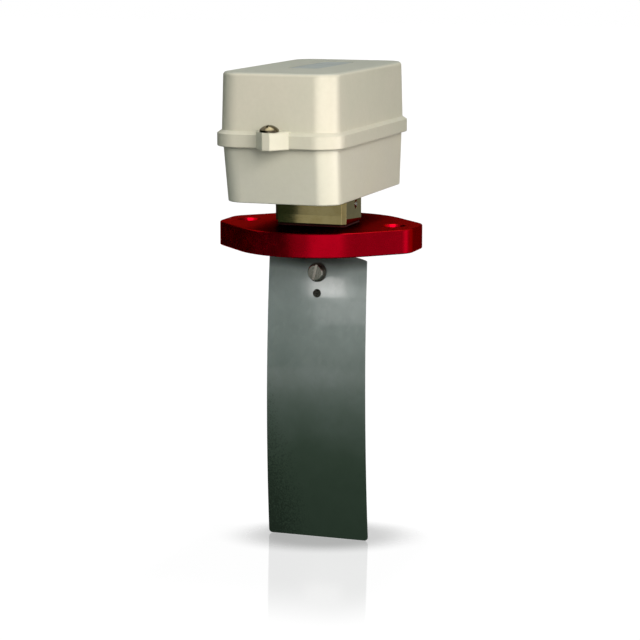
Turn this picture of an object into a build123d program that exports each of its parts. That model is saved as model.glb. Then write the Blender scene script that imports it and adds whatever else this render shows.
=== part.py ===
from build123d import *
from math import acos, asin, atan2, cos, hypot, pi, sin
import os

# All lengths in millimetres. Origin: pivot line's foot at the centre of the flange's duct face.
# +X along the paddle's width, +Y along the air flow, +Z from the duct up into the housing.

# General clearances
SEAT_FIT = 0.02
RUN_FIT = 0.05
LOOSE_FIT = 0.3
CUT = 1.0

# Mounting flange
FLANGE_THICK = 12.7
FLANGE_RADIUS = 47.0
FLANGE_HALF = 53.9
FLANGE_END = 24.0
FLANGE_CORNER = 12.0
FLANGE_EDGE = 0.4
BOLT_SPACING = 82.0
BOLT_HOLE_R = 3.3
BOLT_SINK_R = 6.4
SLOT_X = 12.0
SLOT_Y = 18.0
SLOT_CORNER = 2.5

# Neck with the pivot
NECK_X = 39.4
NECK_Y = 28.6
NECK_SHIFT = -3.3
NECK_CORNER = 2.0
NECK_HEIGHT = 15.1
NECK_EDGE = 0.4
FLANGE_GASKET = 1.1
NECK_GASKET = 0.8
GASKET_INSET = 0.8
AXLE_R = 1.5
AXLE_RISE = 9.5
AXLE_PROUD = 0.5
AXLE_SINK_R = 2.4
AXLE_SINK = 0.6
NECK_SCREW_X = 28.0
NECK_SCREW_Y = 19.0

# Housing base
BASE_X = 63.0
BASE_Y = 122.5
BASE_SHIFT = -8.75
BASE_HEIGHT = 34.8
BASE_CORNER = 11.0
BASE_TAPER_X = 0.9
BASE_TAPER_FRONT = 5.5
BASE_TAPER_BACK = 1.0
BASE_WALL = 3.0
BASE_FLOOR = 3.0
BASE_EDGE = 0.6

# Housing cover
COVER_LAP = 0.3
COVER_WALL = 2.6
COVER_DRAFT = 0.7
COVER_TOP_EDGE = 2.0
COVER_ROOF = 2.5
COVER_HEIGHT = 31.7
COVER_GASKET = 1.0
RIM_OUT = 2.7
RIM_DROP = 6.0
RIM_FACE = 6.7
RIM_SLOPE = 1.6
RIM_ROUND = 0.7
PANEL_X = 18.0
PANEL_Y = 60.0
PANEL_SHIFT = 1.0
PANEL_DEEP = 0.6
PANEL_CORNER = 3.0

# Screw lugs of the cover and the bosses inside them
LUG_HALF = 8.6
LUG_OUT = 9.3
LUG_NOSE = 2.2
LUG_RISE = 2.3
LUG_DROP = 0.3
LUG_WALL = 1.2
LUG_ROUND = 1.0
LUG_EDGE = 0.7
LUG_SCREW = 4.4

# Paddle
PADDLE_TOP = -4.5
PADDLE_BOTTOM = -159.0
PADDLE_TOP_X = 55.0
PADDLE_BOTTOM_X = 56.8
PADDLE_THICK = 0.6
PADDLE_FACE = -4.3
PADDLE_BOW = 4.0
PADDLE_CORNER = 2.0
PADDLE_NIP_X = 8.6
PADDLE_NIP_Z = 1.9
PADDLE_NIP_BULGE = 0.35
PADDLE_SCREW_Z = -13.5
PADDLE_PIN_Z = -24.7
PADDLE_PIN_R = 2.25
PADDLE_PIN_PROUD = 0.4
PADDLE_SLOT_TURN = 11.0

# Pendulum arm and lever
HUB_R = 5.5
HUB_X = 11.0
LEG_X = 8.0
LEG_BACK = 4.0
LEG_FRONT = -4.0
STEM_X = 6.0
STEM_Y = 12.0
PAD_X = 16.0
PAD_TOP = -3.5
PAD_BOTTOM = -32.0
PAD_BACK = 2.0
PAD_CORNER = 4.0
LEVER_RISE = 14.7
LEVER_X = 10.0
LEVER_THICK = 2.0
LEVER_BACK = 26.0
LEVER_SCREW_Y = 7.0

# Range spring, its eye bolt and the setting nut
SPRING_Y = -28.3
SPRING_LEAD = 1.5
SPRING_WIRE_R = 0.45
SPRING_TURNS = 7
HOOK_R = 2.4
HOOK_HOLE_R = 1.5
HOOK_HOLE_SHIFT = 2.0
HOOK_BRIDGE = 0.6
HOOK_GAP = 0.15
EYE_R = 2.6
EYE_WIRE_R = 0.8
EYE_RISE = 42.7
RANGE_BOLT_R = 2.0
RANGE_BOLT_TOP = 20.0
SET_NUT_R = 6.0
SET_NUT_HEIGHT = 5.0
SET_NUT_RIDGES = 20
SET_NUT_DEEP = 0.4

# Bracket that carries the microswitch and the setting nut
BRACKET_THICK = 1.5
BRACKET_X = 7.0
BRACKET_FRONT = -35.0
BRACKET_OVER = 0.7
BRACKET_POST = 18.0
BRACKET_TIE_LOW = 44.0
BRACKET_TIE_HIGH = 52.0
BRACKET_TAB_Z = 74.0
BRACKET_TAB_X = -6.0
BRACKET_FOOT_X = 21.0
BRACKET_FOOT_Y = 16.0
BRACKET_FOOT_GAP = 3.5
STOP_Y = -19.0
STOP_WIDE = 4.0
STOP_REACH = -4.0
STOP_GAP = 0.1

# Microswitch
SWITCH_LONG = 27.8
SWITCH_TALL = 15.9
SWITCH_WIDE = 10.3
SWITCH_START = 6.0
SWITCH_CLEAR = 3.5
SWITCH_HOLE_END = 2.8
SWITCH_HOLE_DROP = 3.7
SWITCH_EDGE = 0.6
PLUNGER_Y = 20.0
PLUNGER_R = 1.5
PLUNGER_LONG = 7.0
PLUNGER_WELL = 10.2
PLUNGER_GAP = 0.05
PLUNGER_TIP = 1.2
PLUNGER_COLLAR_R = 2.8
PLUNGER_COLLAR = 0.5
BLADE_WIDE = 4.8
BLADE_THICK = 0.8
BLADE_TALL = 7.5
BLADE_PITCH = 9.6

# Terminal block and earth point
BLOCK_LEFT = -25.0
BLOCK_RIGHT = -13.0
BLOCK_FRONT = -9.0
BLOCK_BACK = 30.0
BLOCK_TALL = 14.0
BLOCK_RAISE = 3.8
BLOCK_EAR = 6.0
BLOCK_EAR_TALL = 5.0
POLE_PITCH = 9.0
POLE_CHAMBER = 6.4
POLE_CLAMP = 6.0
POLE_CLAMP_TALL = 5.4
POLE_CHAMBER_LOW = 3.0
POLE_WALL = 2.0
POLE_WELL_R = 2.4
EARTH_X = -19.0
EARTH_BACK = 13.5
EARTH_RAISE = 3.0
BOSS_R = 3.5
EARTH_BOSS_R = 4.5
EARTH_WASHER = 8.0
EARTH_WASHER_THICK = 1.0
LEAD_R = 0.8
LEAD_RISE = 8.0
LEAD_SIDE = -9.5
LEAD_BEND = 3.3

# Cable gland
GLAND_RISE = 15.3
GLAND_PAD_PROUD = 0.4
GLAND_PAD_DEEP = 5.0
GLAND_PAD_R = 12.5
GLAND_THREAD_R = 8.0
GLAND_INNER = 5.6
GLAND_HEX = 20.0
GLAND_HEX_LONG = 5.0
GLAND_SPIGOT_R = 7.5
GLAND_SPIGOT = 8.0
GLAND_BORE_R = 5.2
GLAND_NUT_HEX = 19.0
GLAND_NUT_LONG = 13.0
GLAND_NUT_HEX_LONG = 7.0
GLAND_NUT_MOUTH_R = 4.6
GLAND_NUT_LIP = 3.5
GLAND_NUT_TIP_R = 7.4
GLAND_SEAL_R = 3.5
GLAND_SEAL_LONG = 8.0
LOCKNUT_HEX = 20.0
LOCKNUT_THICK = 3.2

# Screw sizes: head radius, head height, shank radius, slot width, slot depth
M5_CHEESE = (4.25, 3.3, 2.5, 1.2, 1.5)
M4_CHEESE = (3.5, 2.6, 2.0, 1.2, 1.1)
M3_CHEESE = (2.75, 1.8, 1.5, 0.8, 0.8)
M25_CHEESE = (2.2, 1.5, 1.25, 0.6, 0.7)
HEAD_EDGE = 0.4
PADDLE_WASHER_R = 5.1
PADDLE_WASHER = 1.0
PADDLE_GRIP = 6.0
SINK_HEAD_R = 3.9
SINK_HEAD = 2.3
SINK_SLOT = 1.0
SINK_SLOT_DEEP = 1.0
DOME_R = 5.0
DOME_BAND = 1.0
DOME_RISE = 2.5
DOME_SLOT = 1.1
DOME_SLOT_DEEP = 1.4
COVER_SCREW_R = 2.0
COVER_SCREW_LONG = 9.0
NECK_GRIP = 6.0
SHEET_GRIP = 4.0
SWITCH_NUT_HEX = 5.5
SWITCH_NUT = 2.4

# Levels that follow from the sizes above
NECK_LOW = FLANGE_THICK + FLANGE_GASKET
NECK_HIGH = NECK_LOW + NECK_HEIGHT
BASE_LOW = NECK_HIGH + NECK_GASKET
FLOOR_Z = BASE_LOW + BASE_FLOOR
BASE_HIGH = BASE_LOW + BASE_HEIGHT
RIM_LOW = BASE_HIGH - RIM_DROP
RIM_EDGE = RIM_LOW + RIM_FACE
RIM_HIGH = RIM_EDGE + RIM_SLOPE
SEAT_Z = BASE_HIGH + COVER_GASKET
COVER_HIGH = BASE_HIGH + COVER_HEIGHT
AXLE_Z = NECK_LOW + AXLE_RISE
LEVER_Z = AXLE_Z + LEVER_RISE
LEVER_TOP = LEVER_Z + LEVER_THICK
LEVER_FRONT = SPRING_Y - HOOK_BRIDGE
HOOK_LOW_Z = LEVER_Z + HOOK_R - SPRING_WIRE_R - HOOK_GAP
EYE_Z = AXLE_Z + EYE_RISE
HOOK_HIGH_Z = EYE_Z - EYE_R + EYE_WIRE_R - HOOK_R + SPRING_WIRE_R
BRACKET_LOW = FLOOR_Z + BRACKET_FOOT_GAP
BRACKET_OUT = BRACKET_X + BRACKET_THICK
SWITCH_LOW = LEVER_TOP + SWITCH_CLEAR
SWITCH_HIGH = SWITCH_LOW + SWITCH_TALL
SWITCH_END = SWITCH_START + SWITCH_LONG
SWITCH_MID = SWITCH_START + SWITCH_LONG / 2
BRACKET_BACK = SWITCH_END + BRACKET_OVER
SWITCH_HOLES = (SWITCH_START + SWITCH_HOLE_END, SWITCH_END - SWITCH_HOLE_END)
SWITCH_X = BRACKET_X - SWITCH_WIDE / 2
SWITCH_HOLE_Z = SWITCH_HIGH - SWITCH_HOLE_DROP
BLOCK_LOW = FLOOR_Z + BLOCK_RAISE
BLOCK_X = (BLOCK_LEFT + BLOCK_RIGHT) / 2
BLOCK_Y = (BLOCK_FRONT + BLOCK_BACK) / 2
BASE_FRONT = BASE_SHIFT - BASE_Y / 2
BASE_BACK = BASE_SHIFT + BASE_Y / 2
EARTH_Y = BASE_BACK - EARTH_BACK
GLAND_Z = BASE_LOW + GLAND_RISE
GLAND_FACE = BASE_BACK + GLAND_PAD_PROUD
GLAND_SEAT = GLAND_FACE - GLAND_PAD_DEEP
PADDLE_MID = (PADDLE_TOP + PADDLE_BOTTOM) / 2
PADDLE_HALF = (PADDLE_TOP - PADDLE_BOTTOM) / 2
PADDLE_R = (PADDLE_HALF ** 2 + PADDLE_BOW ** 2) / (2 * PADDLE_BOW)
PADDLE_AXIS_Y = PADDLE_FACE - PADDLE_BOW + PADDLE_R

NECK_SCREW_SPOTS = [(x * NECK_SCREW_X / 2, NECK_SHIFT + y * NECK_SCREW_Y / 2) for x in (-1, 1) for y in (-1, 1)]
BRACKET_FEET = (BRACKET_FRONT + BRACKET_FOOT_Y / 2, BRACKET_BACK - BRACKET_FOOT_Y / 2)
BRACKET_SCREW_X = (BRACKET_OUT + BRACKET_FOOT_X) / 2
BLOCK_SCREW_SPOTS = [(BLOCK_X, BLOCK_FRONT + BLOCK_EAR / 2), (BLOCK_X, BLOCK_BACK - BLOCK_EAR / 2)]
POLES = [BLOCK_Y + i * POLE_PITCH for i in (-1, 0, 1)]
BLADES = [SWITCH_MID + i * BLADE_PITCH for i in (-1, 0, 1)]


def block(x0, x1, y0, y1, z0, z1):
    """Box between two limits on each axis."""
    return Pos((x0 + x1) / 2, (y0 + y1) / 2, (z0 + z1) / 2) * Box(x1 - x0, y1 - y0, z1 - z0)


def rod_z(x, y, z0, z1, radius):
    """Upright cylinder."""
    return Pos(x, y, (z0 + z1) / 2) * Cylinder(radius, z1 - z0)


def rod_x(y, z, x0, x1, radius):
    """Cylinder along X."""
    return Pos((x0 + x1) / 2, y, z) * Rot(0, 90, 0) * Cylinder(radius, abs(x1 - x0))


def rod_y(x, z, y0, y1, radius):
    """Cylinder along Y."""
    return Pos(x, (y0 + y1) / 2, z) * Rot(-90, 0, 0) * Cylinder(radius, y1 - y0)


def hex_y(x, z, y0, y1, across):
    """Hexagonal prism along Y, with two flats level."""
    prism = extrude(RegularPolygon(across / 2, 6, major_radius=False), y1 - y0)
    return Pos(x, y1, z) * Rot(90, 0, 0) * prism


def plan(half_x, front, back, corner, z):
    """Level rectangle with rounded corners, symmetric in X."""
    return Pos(0, (front + back) / 2, z) * RectangleRounded(2 * half_x, back - front, corner)


def joined(pieces):
    """Separate solids of one node."""
    return Compound(children=list(pieces))


def at_spots(shape, spots, z):
    """Copies of a shape at several plan positions."""
    return joined([Pos(x, y, z) * shape for x, y in spots])


def cheese_screw(size, long):
    """Slotted screw with its seat at the origin, head up and shank down."""
    head_r, head_h, shank_r, slot, deep = size
    head = rod_z(0, 0, 0, head_h, head_r)
    head = chamfer(head.edges().sort_by(Axis.Z)[-1], HEAD_EDGE)
    screw = head + rod_z(0, 0, -long, 0, shank_r)
    return screw - block(-head_r, head_r, -slot / 2, slot / 2, head_h - deep, head_h + CUT)


def sunk_screw(shank_r, long):
    """Countersunk slotted screw with the top of its head at the origin."""
    head = Pos(0, 0, -SINK_HEAD / 2) * Cone(shank_r, SINK_HEAD_R, SINK_HEAD)
    screw = head + rod_z(0, 0, -long, -SINK_HEAD, shank_r)
    return screw - block(-SINK_HEAD_R, SINK_HEAD_R, -SINK_SLOT / 2, SINK_SLOT / 2, -SINK_SLOT_DEEP, CUT)


def dome_screw():
    """Cover screw with a slotted domed head, its seat at the origin."""
    ball_r = (DOME_R ** 2 + DOME_RISE ** 2) / (2 * DOME_RISE)
    dome = Pos(0, 0, DOME_BAND + DOME_RISE - ball_r) * Sphere(ball_r)
    head = rod_z(0, 0, 0, DOME_BAND + DOME_RISE, DOME_R) & dome
    screw = head + rod_z(0, 0, -COVER_SCREW_LONG, 0, COVER_SCREW_R)
    top = DOME_BAND + DOME_RISE
    return screw - block(-DOME_SLOT / 2, DOME_SLOT / 2, -DOME_R, DOME_R, top - DOME_SLOT_DEEP, top + CUT)


def slot_cut(z0, z1):
    """Passage of the arm through flange, gaskets, neck and floor."""
    return extrude(Pos(0, 0, z0) * RectangleRounded(SLOT_X, SLOT_Y, SLOT_CORNER), z1 - z0)


def flange_outline():
    """Circle with tangent sides that run to two flat ends with rounded corners."""
    half_end = FLANGE_END / 2
    reach = hypot(FLANGE_HALF, half_end)
    turn = atan2(half_end, FLANGE_HALF) + acos(FLANGE_RADIUS / reach)
    tx = FLANGE_RADIUS * cos(turn)
    ty = FLANGE_RADIUS * sin(turn)
    right = Polyline((tx, -ty), (FLANGE_HALF, -half_end), (FLANGE_HALF, half_end), (tx, ty))
    left = Polyline((-tx, ty), (-FLANGE_HALF, half_end), (-FLANGE_HALF, -half_end), (-tx, -ty))
    far = ThreePointArc((tx, ty), (0, FLANGE_RADIUS), (-tx, ty))
    near = ThreePointArc((-tx, -ty), (0, -FLANGE_RADIUS), (tx, -ty))
    face = make_face(right + far + left + near)
    ends = face.vertices().group_by(Axis.X)
    return fillet(ends[0] + ends[-1], FLANGE_CORNER)


def mounting_flange():
    """Lozenge plate with two sunk bolt holes, the arm's slot and four sunk neck screw holes."""
    body = extrude(flange_outline(), FLANGE_THICK)
    rims = body.edges().filter_by(Plane.XY)
    body = chamfer(rims, FLANGE_EDGE)
    sink = BOLT_SINK_R - BOLT_HOLE_R
    for side in (-1, 1):
        x = side * BOLT_SPACING / 2
        body -= rod_z(x, 0, -CUT, FLANGE_THICK + CUT, BOLT_HOLE_R)
        body -= Pos(x, 0, FLANGE_THICK - sink / 2) * Cone(BOLT_HOLE_R, BOLT_SINK_R, sink)
    for x, y in NECK_SCREW_SPOTS:
        body -= rod_z(x, y, -CUT, FLANGE_THICK + CUT, M4_CHEESE[2] + SEAT_FIT)
        body -= Pos(x, y, SINK_HEAD / 2) * Cone(SINK_HEAD_R + SEAT_FIT, M4_CHEESE[2] + SEAT_FIT, SINK_HEAD)
    return body - slot_cut(-CUT, FLANGE_THICK + CUT)


def neck_plan(inset, z0, z1):
    """Block of the neck's outline, drawn in by an inset, with bevelled upright corners."""
    body = block(-NECK_X / 2 + inset, NECK_X / 2 - inset,
                 NECK_SHIFT - NECK_Y / 2 + inset, NECK_SHIFT + NECK_Y / 2 - inset, z0, z1)
    return chamfer(body.edges().filter_by(Axis.Z), NECK_CORNER)


def neck_drilled(body, z0, z1):
    """The body with the arm's slot and the four screw holes."""
    body -= slot_cut(z0 - CUT, z1 + CUT)
    for x, y in NECK_SCREW_SPOTS:
        body -= rod_z(x, y, z0 - CUT, z1 + CUT, M4_CHEESE[2] + SEAT_FIT)
    return body


def flange_gasket():
    return neck_drilled(neck_plan(GASKET_INSET, FLANGE_THICK, NECK_LOW), FLANGE_THICK, NECK_LOW)


def neck_gasket():
    return neck_drilled(neck_plan(GASKET_INSET, NECK_HIGH, BASE_LOW), NECK_HIGH, BASE_LOW)


def pivot_body():
    """Plated block that holds the axle, with the end of the axle's bore sunk on both sides."""
    body = neck_plan(0, NECK_LOW, NECK_HIGH)
    body = chamfer(body.edges().filter_by(Plane.XY), NECK_EDGE)
    body = neck_drilled(body, NECK_LOW, NECK_HIGH)
    body -= rod_x(0, AXLE_Z, -NECK_X, NECK_X, AXLE_R)
    for side in (-1, 1):
        face = side * NECK_X / 2
        body -= rod_x(0, AXLE_Z, face - side * AXLE_SINK, face + side * CUT, AXLE_SINK_R)
    return body


def pivot_axle():
    """Pin pressed across the neck, a little proud of both side faces."""
    end = NECK_X / 2 + AXLE_PROUD
    pin = rod_x(0, AXLE_Z, -end, end, AXLE_R)
    return chamfer(pin.edges().filter_by(GeomType.CIRCLE), HEAD_EDGE)


def bow_drum(radius, half_x):
    """Cylinder about the centre line of the paddle's bow."""
    return rod_x(PADDLE_AXIS_Y, PADDLE_MID, -half_x, half_x, radius)


def paddle_place(z):
    """Plane on the paddle's upstream face at a height, its normal pointing upstream."""
    turn = asin((z - PADDLE_MID) / PADDLE_R)
    spot = (0, PADDLE_AXIS_Y - PADDLE_R * cos(turn), z)
    return Plane(origin=spot, x_dir=(1, 0, 0), z_dir=(0, -cos(turn), sin(turn)))


def paddle_outline():
    """Flat outline of the paddle, with nipped top corners and rounded bottom corners."""
    top = PADDLE_TOP_X / 2
    low = PADDLE_BOTTOM_X / 2
    nip_x = top - PADDLE_NIP_X
    nip_z = PADDLE_TOP - PADDLE_NIP_Z
    mid_x = (top + nip_x) / 2 + PADDLE_NIP_BULGE / 2
    mid_z = PADDLE_TOP - PADDLE_NIP_Z / 2 + PADDLE_NIP_BULGE
    upper = Line((-nip_x, PADDLE_TOP), (nip_x, PADDLE_TOP))
    right_nip = ThreePointArc((nip_x, PADDLE_TOP), (mid_x, mid_z), (top, nip_z))
    lower = Polyline((top, nip_z), (low, PADDLE_BOTTOM), (-low, PADDLE_BOTTOM), (-top, nip_z))
    left_nip = ThreePointArc((-top, nip_z), (-mid_x, mid_z), (-nip_x, PADDLE_TOP))
    face = make_face(upper + right_nip + lower + left_nip)
    return fillet(face.vertices().sort_by(Axis.Y)[:2], PADDLE_CORNER)


def paddle():
    """Bowed sheet: its outline cut from a thin curved shell."""
    reach = PADDLE_BOW + PADDLE_THICK + CUT
    flat = Plane(origin=(0, PADDLE_FACE + reach, 0), x_dir=(1, 0, 0), z_dir=(0, -1, 0)) * paddle_outline()
    slab = extrude(flat, 2 * reach + PADDLE_BOW)
    sheet = slab & (bow_drum(PADDLE_R, PADDLE_BOTTOM_X) - bow_drum(PADDLE_R - PADDLE_THICK, 2 * PADDLE_BOTTOM_X))
    for z, radius in ((PADDLE_SCREW_Z, M5_CHEESE[2]), (PADDLE_PIN_Z, PADDLE_PIN_R)):
        sheet -= paddle_place(z) * rod_z(0, 0, -CUT - PADDLE_THICK, CUT, radius + SEAT_FIT)
    return sheet


def paddle_washer():
    ring = rod_z(0, 0, 0, PADDLE_WASHER, PADDLE_WASHER_R) - rod_z(0, 0, -CUT, 2 * CUT, M5_CHEESE[2] + SEAT_FIT)
    return paddle_place(PADDLE_SCREW_Z) * ring


def paddle_screw():
    screw = Rot(0, 0, 90 - PADDLE_SLOT_TURN) * cheese_screw(M5_CHEESE, PADDLE_WASHER + PADDLE_THICK + PADDLE_GRIP)
    return paddle_place(PADDLE_SCREW_Z) * Pos(0, 0, PADDLE_WASHER) * screw


def paddle_pin():
    pin = rod_z(0, 0, -PADDLE_THICK - PADDLE_GRIP, PADDLE_PIN_PROUD, PADDLE_PIN_R)
    pin = chamfer(pin.edges().sort_by(Axis.Z)[-1], PADDLE_PIN_PROUD / 2)
    return paddle_place(PADDLE_PIN_Z) * pin


def arm_pad():
    """Lower end of the arm, shaped to the back of the paddle."""
    pad = block(-PAD_X / 2, PAD_X / 2, PADDLE_FACE - 2 * PADDLE_BOW, PAD_BACK, PAD_BOTTOM, PAD_TOP)
    pad = fillet(pad.edges().filter_by(Axis.Y).sort_by(Axis.Z)[:2], PAD_CORNER)
    pad = pad & bow_drum(PADDLE_R - PADDLE_THICK, PAD_X)
    for z, radius in ((PADDLE_SCREW_Z, M5_CHEESE[2]), (PADDLE_PIN_Z, PADDLE_PIN_R)):
        deep = PADDLE_THICK + PADDLE_GRIP + SEAT_FIT
        pad -= paddle_place(z) * rod_z(0, 0, -deep, CUT, radius + SEAT_FIT)
    return pad


def pendulum_arm():
    """Arm from the paddle past the axle up to the lever, in one piece."""
    leg = block(-LEG_X / 2, LEG_X / 2, LEG_FRONT, LEG_BACK, PAD_TOP, AXLE_Z)
    foot = block(-LEG_X / 2, LEG_X / 2, LEG_FRONT, PAD_BACK, PADDLE_SCREW_Z / 2, PAD_TOP + CUT)
    foot = foot & bow_drum(PADDLE_R - PADDLE_THICK, PAD_X)
    stem = block(-STEM_X / 2, STEM_X / 2, -STEM_Y / 2, STEM_Y / 2, AXLE_Z, LEVER_Z)
    arm = leg + foot + stem + rod_x(0, AXLE_Z, -HUB_X / 2, HUB_X / 2, HUB_R) + arm_pad()
    arm -= rod_x(0, AXLE_Z, -HUB_X, HUB_X, AXLE_R + RUN_FIT)
    for side in (-1, 1):
        y = side * LEVER_SCREW_Y / 2
        arm -= rod_z(0, y, LEVER_Z - SHEET_GRIP - SEAT_FIT, LEVER_Z + CUT, M25_CHEESE[2] + SEAT_FIT)
    return arm


def switch_lever():
    """Strip across the top of the arm: the spring hooks into one end, the other works the plunger."""
    strip = block(-LEVER_X / 2, LEVER_X / 2, LEVER_FRONT, LEVER_BACK, LEVER_Z, LEVER_TOP)
    strip -= rod_z(0, SPRING_Y + HOOK_HOLE_SHIFT, LEVER_Z - CUT, LEVER_TOP + CUT, HOOK_HOLE_R)
    for side in (-1, 1):
        y = side * LEVER_SCREW_Y / 2
        strip -= rod_z(0, y, LEVER_Z - CUT, LEVER_TOP + CUT, M25_CHEESE[2] + SEAT_FIT)
    return strip


def lever_screws():
    spots = [(0, side * LEVER_SCREW_Y / 2) for side in (-1, 1)]
    return at_spots(cheese_screw(M25_CHEESE, LEVER_THICK + SHEET_GRIP), spots, LEVER_TOP)


def range_spring():
    """Open coil with a closed loop at each end."""
    low = HOOK_LOW_Z + SPRING_LEAD
    high = HOOK_HIGH_Z - SPRING_LEAD
    path = Helix((high - low) / SPRING_TURNS, high - low, HOOK_R)
    wire = Plane(origin=path @ 0, z_dir=path % 0) * Circle(SPRING_WIRE_R)
    coil = Pos(0, SPRING_Y, low) * Rot(0, 0, 90) * sweep(wire, path, is_frenet=True)
    loop = Rot(0, 90, 0) * Torus(HOOK_R, SPRING_WIRE_R)
    return coil + Pos(0, SPRING_Y, HOOK_LOW_Z) * loop + Pos(0, SPRING_Y, HOOK_HIGH_Z) * loop


def range_bolt():
    """Threaded eye bolt that holds the spring's upper loop."""
    eye = Pos(0, SPRING_Y, EYE_Z) * Rot(90, 0, 0) * Torus(EYE_R, EYE_WIRE_R)
    shank = rod_z(0, SPRING_Y, EYE_Z + EYE_R, EYE_Z + RANGE_BOLT_TOP, RANGE_BOLT_R)
    shank = chamfer(shank.edges().sort_by(Axis.Z)[-1], HEAD_EDGE)
    return eye + shank


def adjusting_nut():
    """Ridged nut on the bracket's upper tab."""
    low = BRACKET_TAB_Z + BRACKET_THICK
    points = []
    for i in range(2 * SET_NUT_RIDGES):
        a = pi * i / SET_NUT_RIDGES
        r = SET_NUT_R - SET_NUT_DEEP * (i % 2)
        points.append((r * cos(a), SPRING_Y + r * sin(a)))
    body = extrude(Pos(0, 0, low) * make_face(Polyline(*points, close=True)), SET_NUT_HEIGHT)
    return body - rod_z(0, SPRING_Y, low - CUT, low + SET_NUT_HEIGHT + CUT, RANGE_BOLT_R + RUN_FIT)


def switch_bracket():
    """Bent sheet: wall beside the lever, two feet, a tab for the setting nut and a rest stop."""
    front, back = BRACKET_FRONT, BRACKET_BACK
    tab_top = BRACKET_TAB_Z + BRACKET_THICK
    body = block(BRACKET_X, BRACKET_OUT, front, front + BRACKET_POST, BRACKET_LOW, tab_top)
    body += block(BRACKET_X, BRACKET_OUT, SWITCH_START, back, BRACKET_LOW, SWITCH_HIGH)
    body += block(BRACKET_X, BRACKET_OUT, front, back, BRACKET_TIE_LOW, BRACKET_TIE_HIGH)
    body += block(BRACKET_TAB_X, BRACKET_OUT, front, front + BRACKET_POST, BRACKET_TAB_Z, tab_top)
    body += block(STOP_REACH, BRACKET_OUT, STOP_Y - STOP_WIDE / 2, STOP_Y + STOP_WIDE / 2,
                  LEVER_TOP + STOP_GAP, LEVER_TOP + STOP_GAP + BRACKET_THICK)
    for y in BRACKET_FEET:
        body += block(BRACKET_X, BRACKET_FOOT_X, y - BRACKET_FOOT_Y / 2, y + BRACKET_FOOT_Y / 2,
                      BRACKET_LOW, BRACKET_LOW + BRACKET_THICK)
        body -= rod_z(BRACKET_SCREW_X, y, BRACKET_LOW - CUT, BRACKET_LOW + BRACKET_THICK + CUT,
                      M3_CHEESE[2] + SEAT_FIT)
    body -= rod_z(0, SPRING_Y, BRACKET_TAB_Z - CUT, tab_top + CUT, RANGE_BOLT_R + LOOSE_FIT)
    for y in SWITCH_HOLES:
        body -= rod_x(y, SWITCH_HOLE_Z, BRACKET_X - CUT, BRACKET_OUT + CUT, M3_CHEESE[2] + SEAT_FIT)
    return body


def bracket_screws():
    spots = [(BRACKET_SCREW_X, y) for y in BRACKET_FEET]
    return at_spots(cheese_screw(M3_CHEESE, BRACKET_THICK + SHEET_GRIP), spots, BRACKET_LOW + BRACKET_THICK)


def microswitch():
    """Closed switch case with its plunger's well on the underside."""
    left = BRACKET_X - SWITCH_WIDE
    body = block(left, BRACKET_X, SWITCH_START, SWITCH_END, SWITCH_LOW, SWITCH_HIGH)
    body = chamfer(body.edges().filter_by(Axis.X), SWITCH_EDGE)
    body += rod_z(SWITCH_X, PLUNGER_Y, SWITCH_LOW - PLUNGER_COLLAR, SWITCH_LOW + CUT, PLUNGER_COLLAR_R)
    body -= rod_z(SWITCH_X, PLUNGER_Y, SWITCH_LOW - CUT, LEVER_TOP + PLUNGER_WELL, PLUNGER_R + RUN_FIT)
    for y in SWITCH_HOLES:
        body -= rod_x(y, SWITCH_HOLE_Z, left - CUT, BRACKET_X + CUT, M3_CHEESE[2] + SEAT_FIT)
    return body


def switch_plunger():
    """Pin that the lever pushes up, with a rounded tip."""
    low = LEVER_TOP + PLUNGER_GAP
    pin = rod_z(SWITCH_X, PLUNGER_Y, low, low + PLUNGER_LONG, PLUNGER_R)
    return fillet(pin.edges().sort_by(Axis.Z)[0], PLUNGER_TIP)


def switch_terminals():
    blades = []
    for y in BLADES:
        blade = block(SWITCH_X - BLADE_THICK / 2, SWITCH_X + BLADE_THICK / 2,
                      y - BLADE_WIDE / 2, y + BLADE_WIDE / 2, SWITCH_HIGH, SWITCH_HIGH + BLADE_TALL)
        blades.append(blade)
    return joined(blades)


def switch_screws():
    screws = []
    for y in SWITCH_HOLES:
        screw = cheese_screw(M3_CHEESE, SWITCH_WIDE + BRACKET_THICK + SWITCH_NUT + HEAD_EDGE)
        screws.append(Pos(BRACKET_X - SWITCH_WIDE, y, SWITCH_HOLE_Z) * Rot(0, -90, 0) * screw)
    return joined(screws)


def switch_nuts():
    nuts = []
    for y in SWITCH_HOLES:
        nut = extrude(RegularPolygon(SWITCH_NUT_HEX / 2, 6, major_radius=False), SWITCH_NUT)
        nut -= rod_z(0, 0, -CUT, SWITCH_NUT + CUT, M3_CHEESE[2] + SEAT_FIT)
        nuts.append(Pos(BRACKET_OUT, y, SWITCH_HOLE_Z) * Rot(0, 90, 0) * nut)
    return joined(nuts)


def terminal_block():
    """Insulating block: a chamber, a screw well and a wire mouth for each pole, and two fixing ears."""
    top = BLOCK_LOW + BLOCK_TALL
    body = block(BLOCK_LEFT, BLOCK_RIGHT, BLOCK_FRONT + BLOCK_EAR, BLOCK_BACK - BLOCK_EAR, BLOCK_LOW, top)
    body += block(BLOCK_LEFT, BLOCK_RIGHT, BLOCK_FRONT, BLOCK_BACK, BLOCK_LOW, BLOCK_LOW + BLOCK_EAR_TALL)
    low = BLOCK_LOW + POLE_CHAMBER_LOW
    for y in POLES:
        body -= block(BLOCK_LEFT + POLE_WALL, BLOCK_RIGHT + CUT, y - POLE_CHAMBER / 2, y + POLE_CHAMBER / 2,
                      low, low + POLE_CHAMBER)
        body -= rod_z(BLOCK_X, y, low, top + CUT, POLE_WELL_R)
    for x, y in BLOCK_SCREW_SPOTS:
        body -= rod_z(x, y, BLOCK_LOW - CUT, top, M3_CHEESE[2] + SEAT_FIT)
    return body


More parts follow.
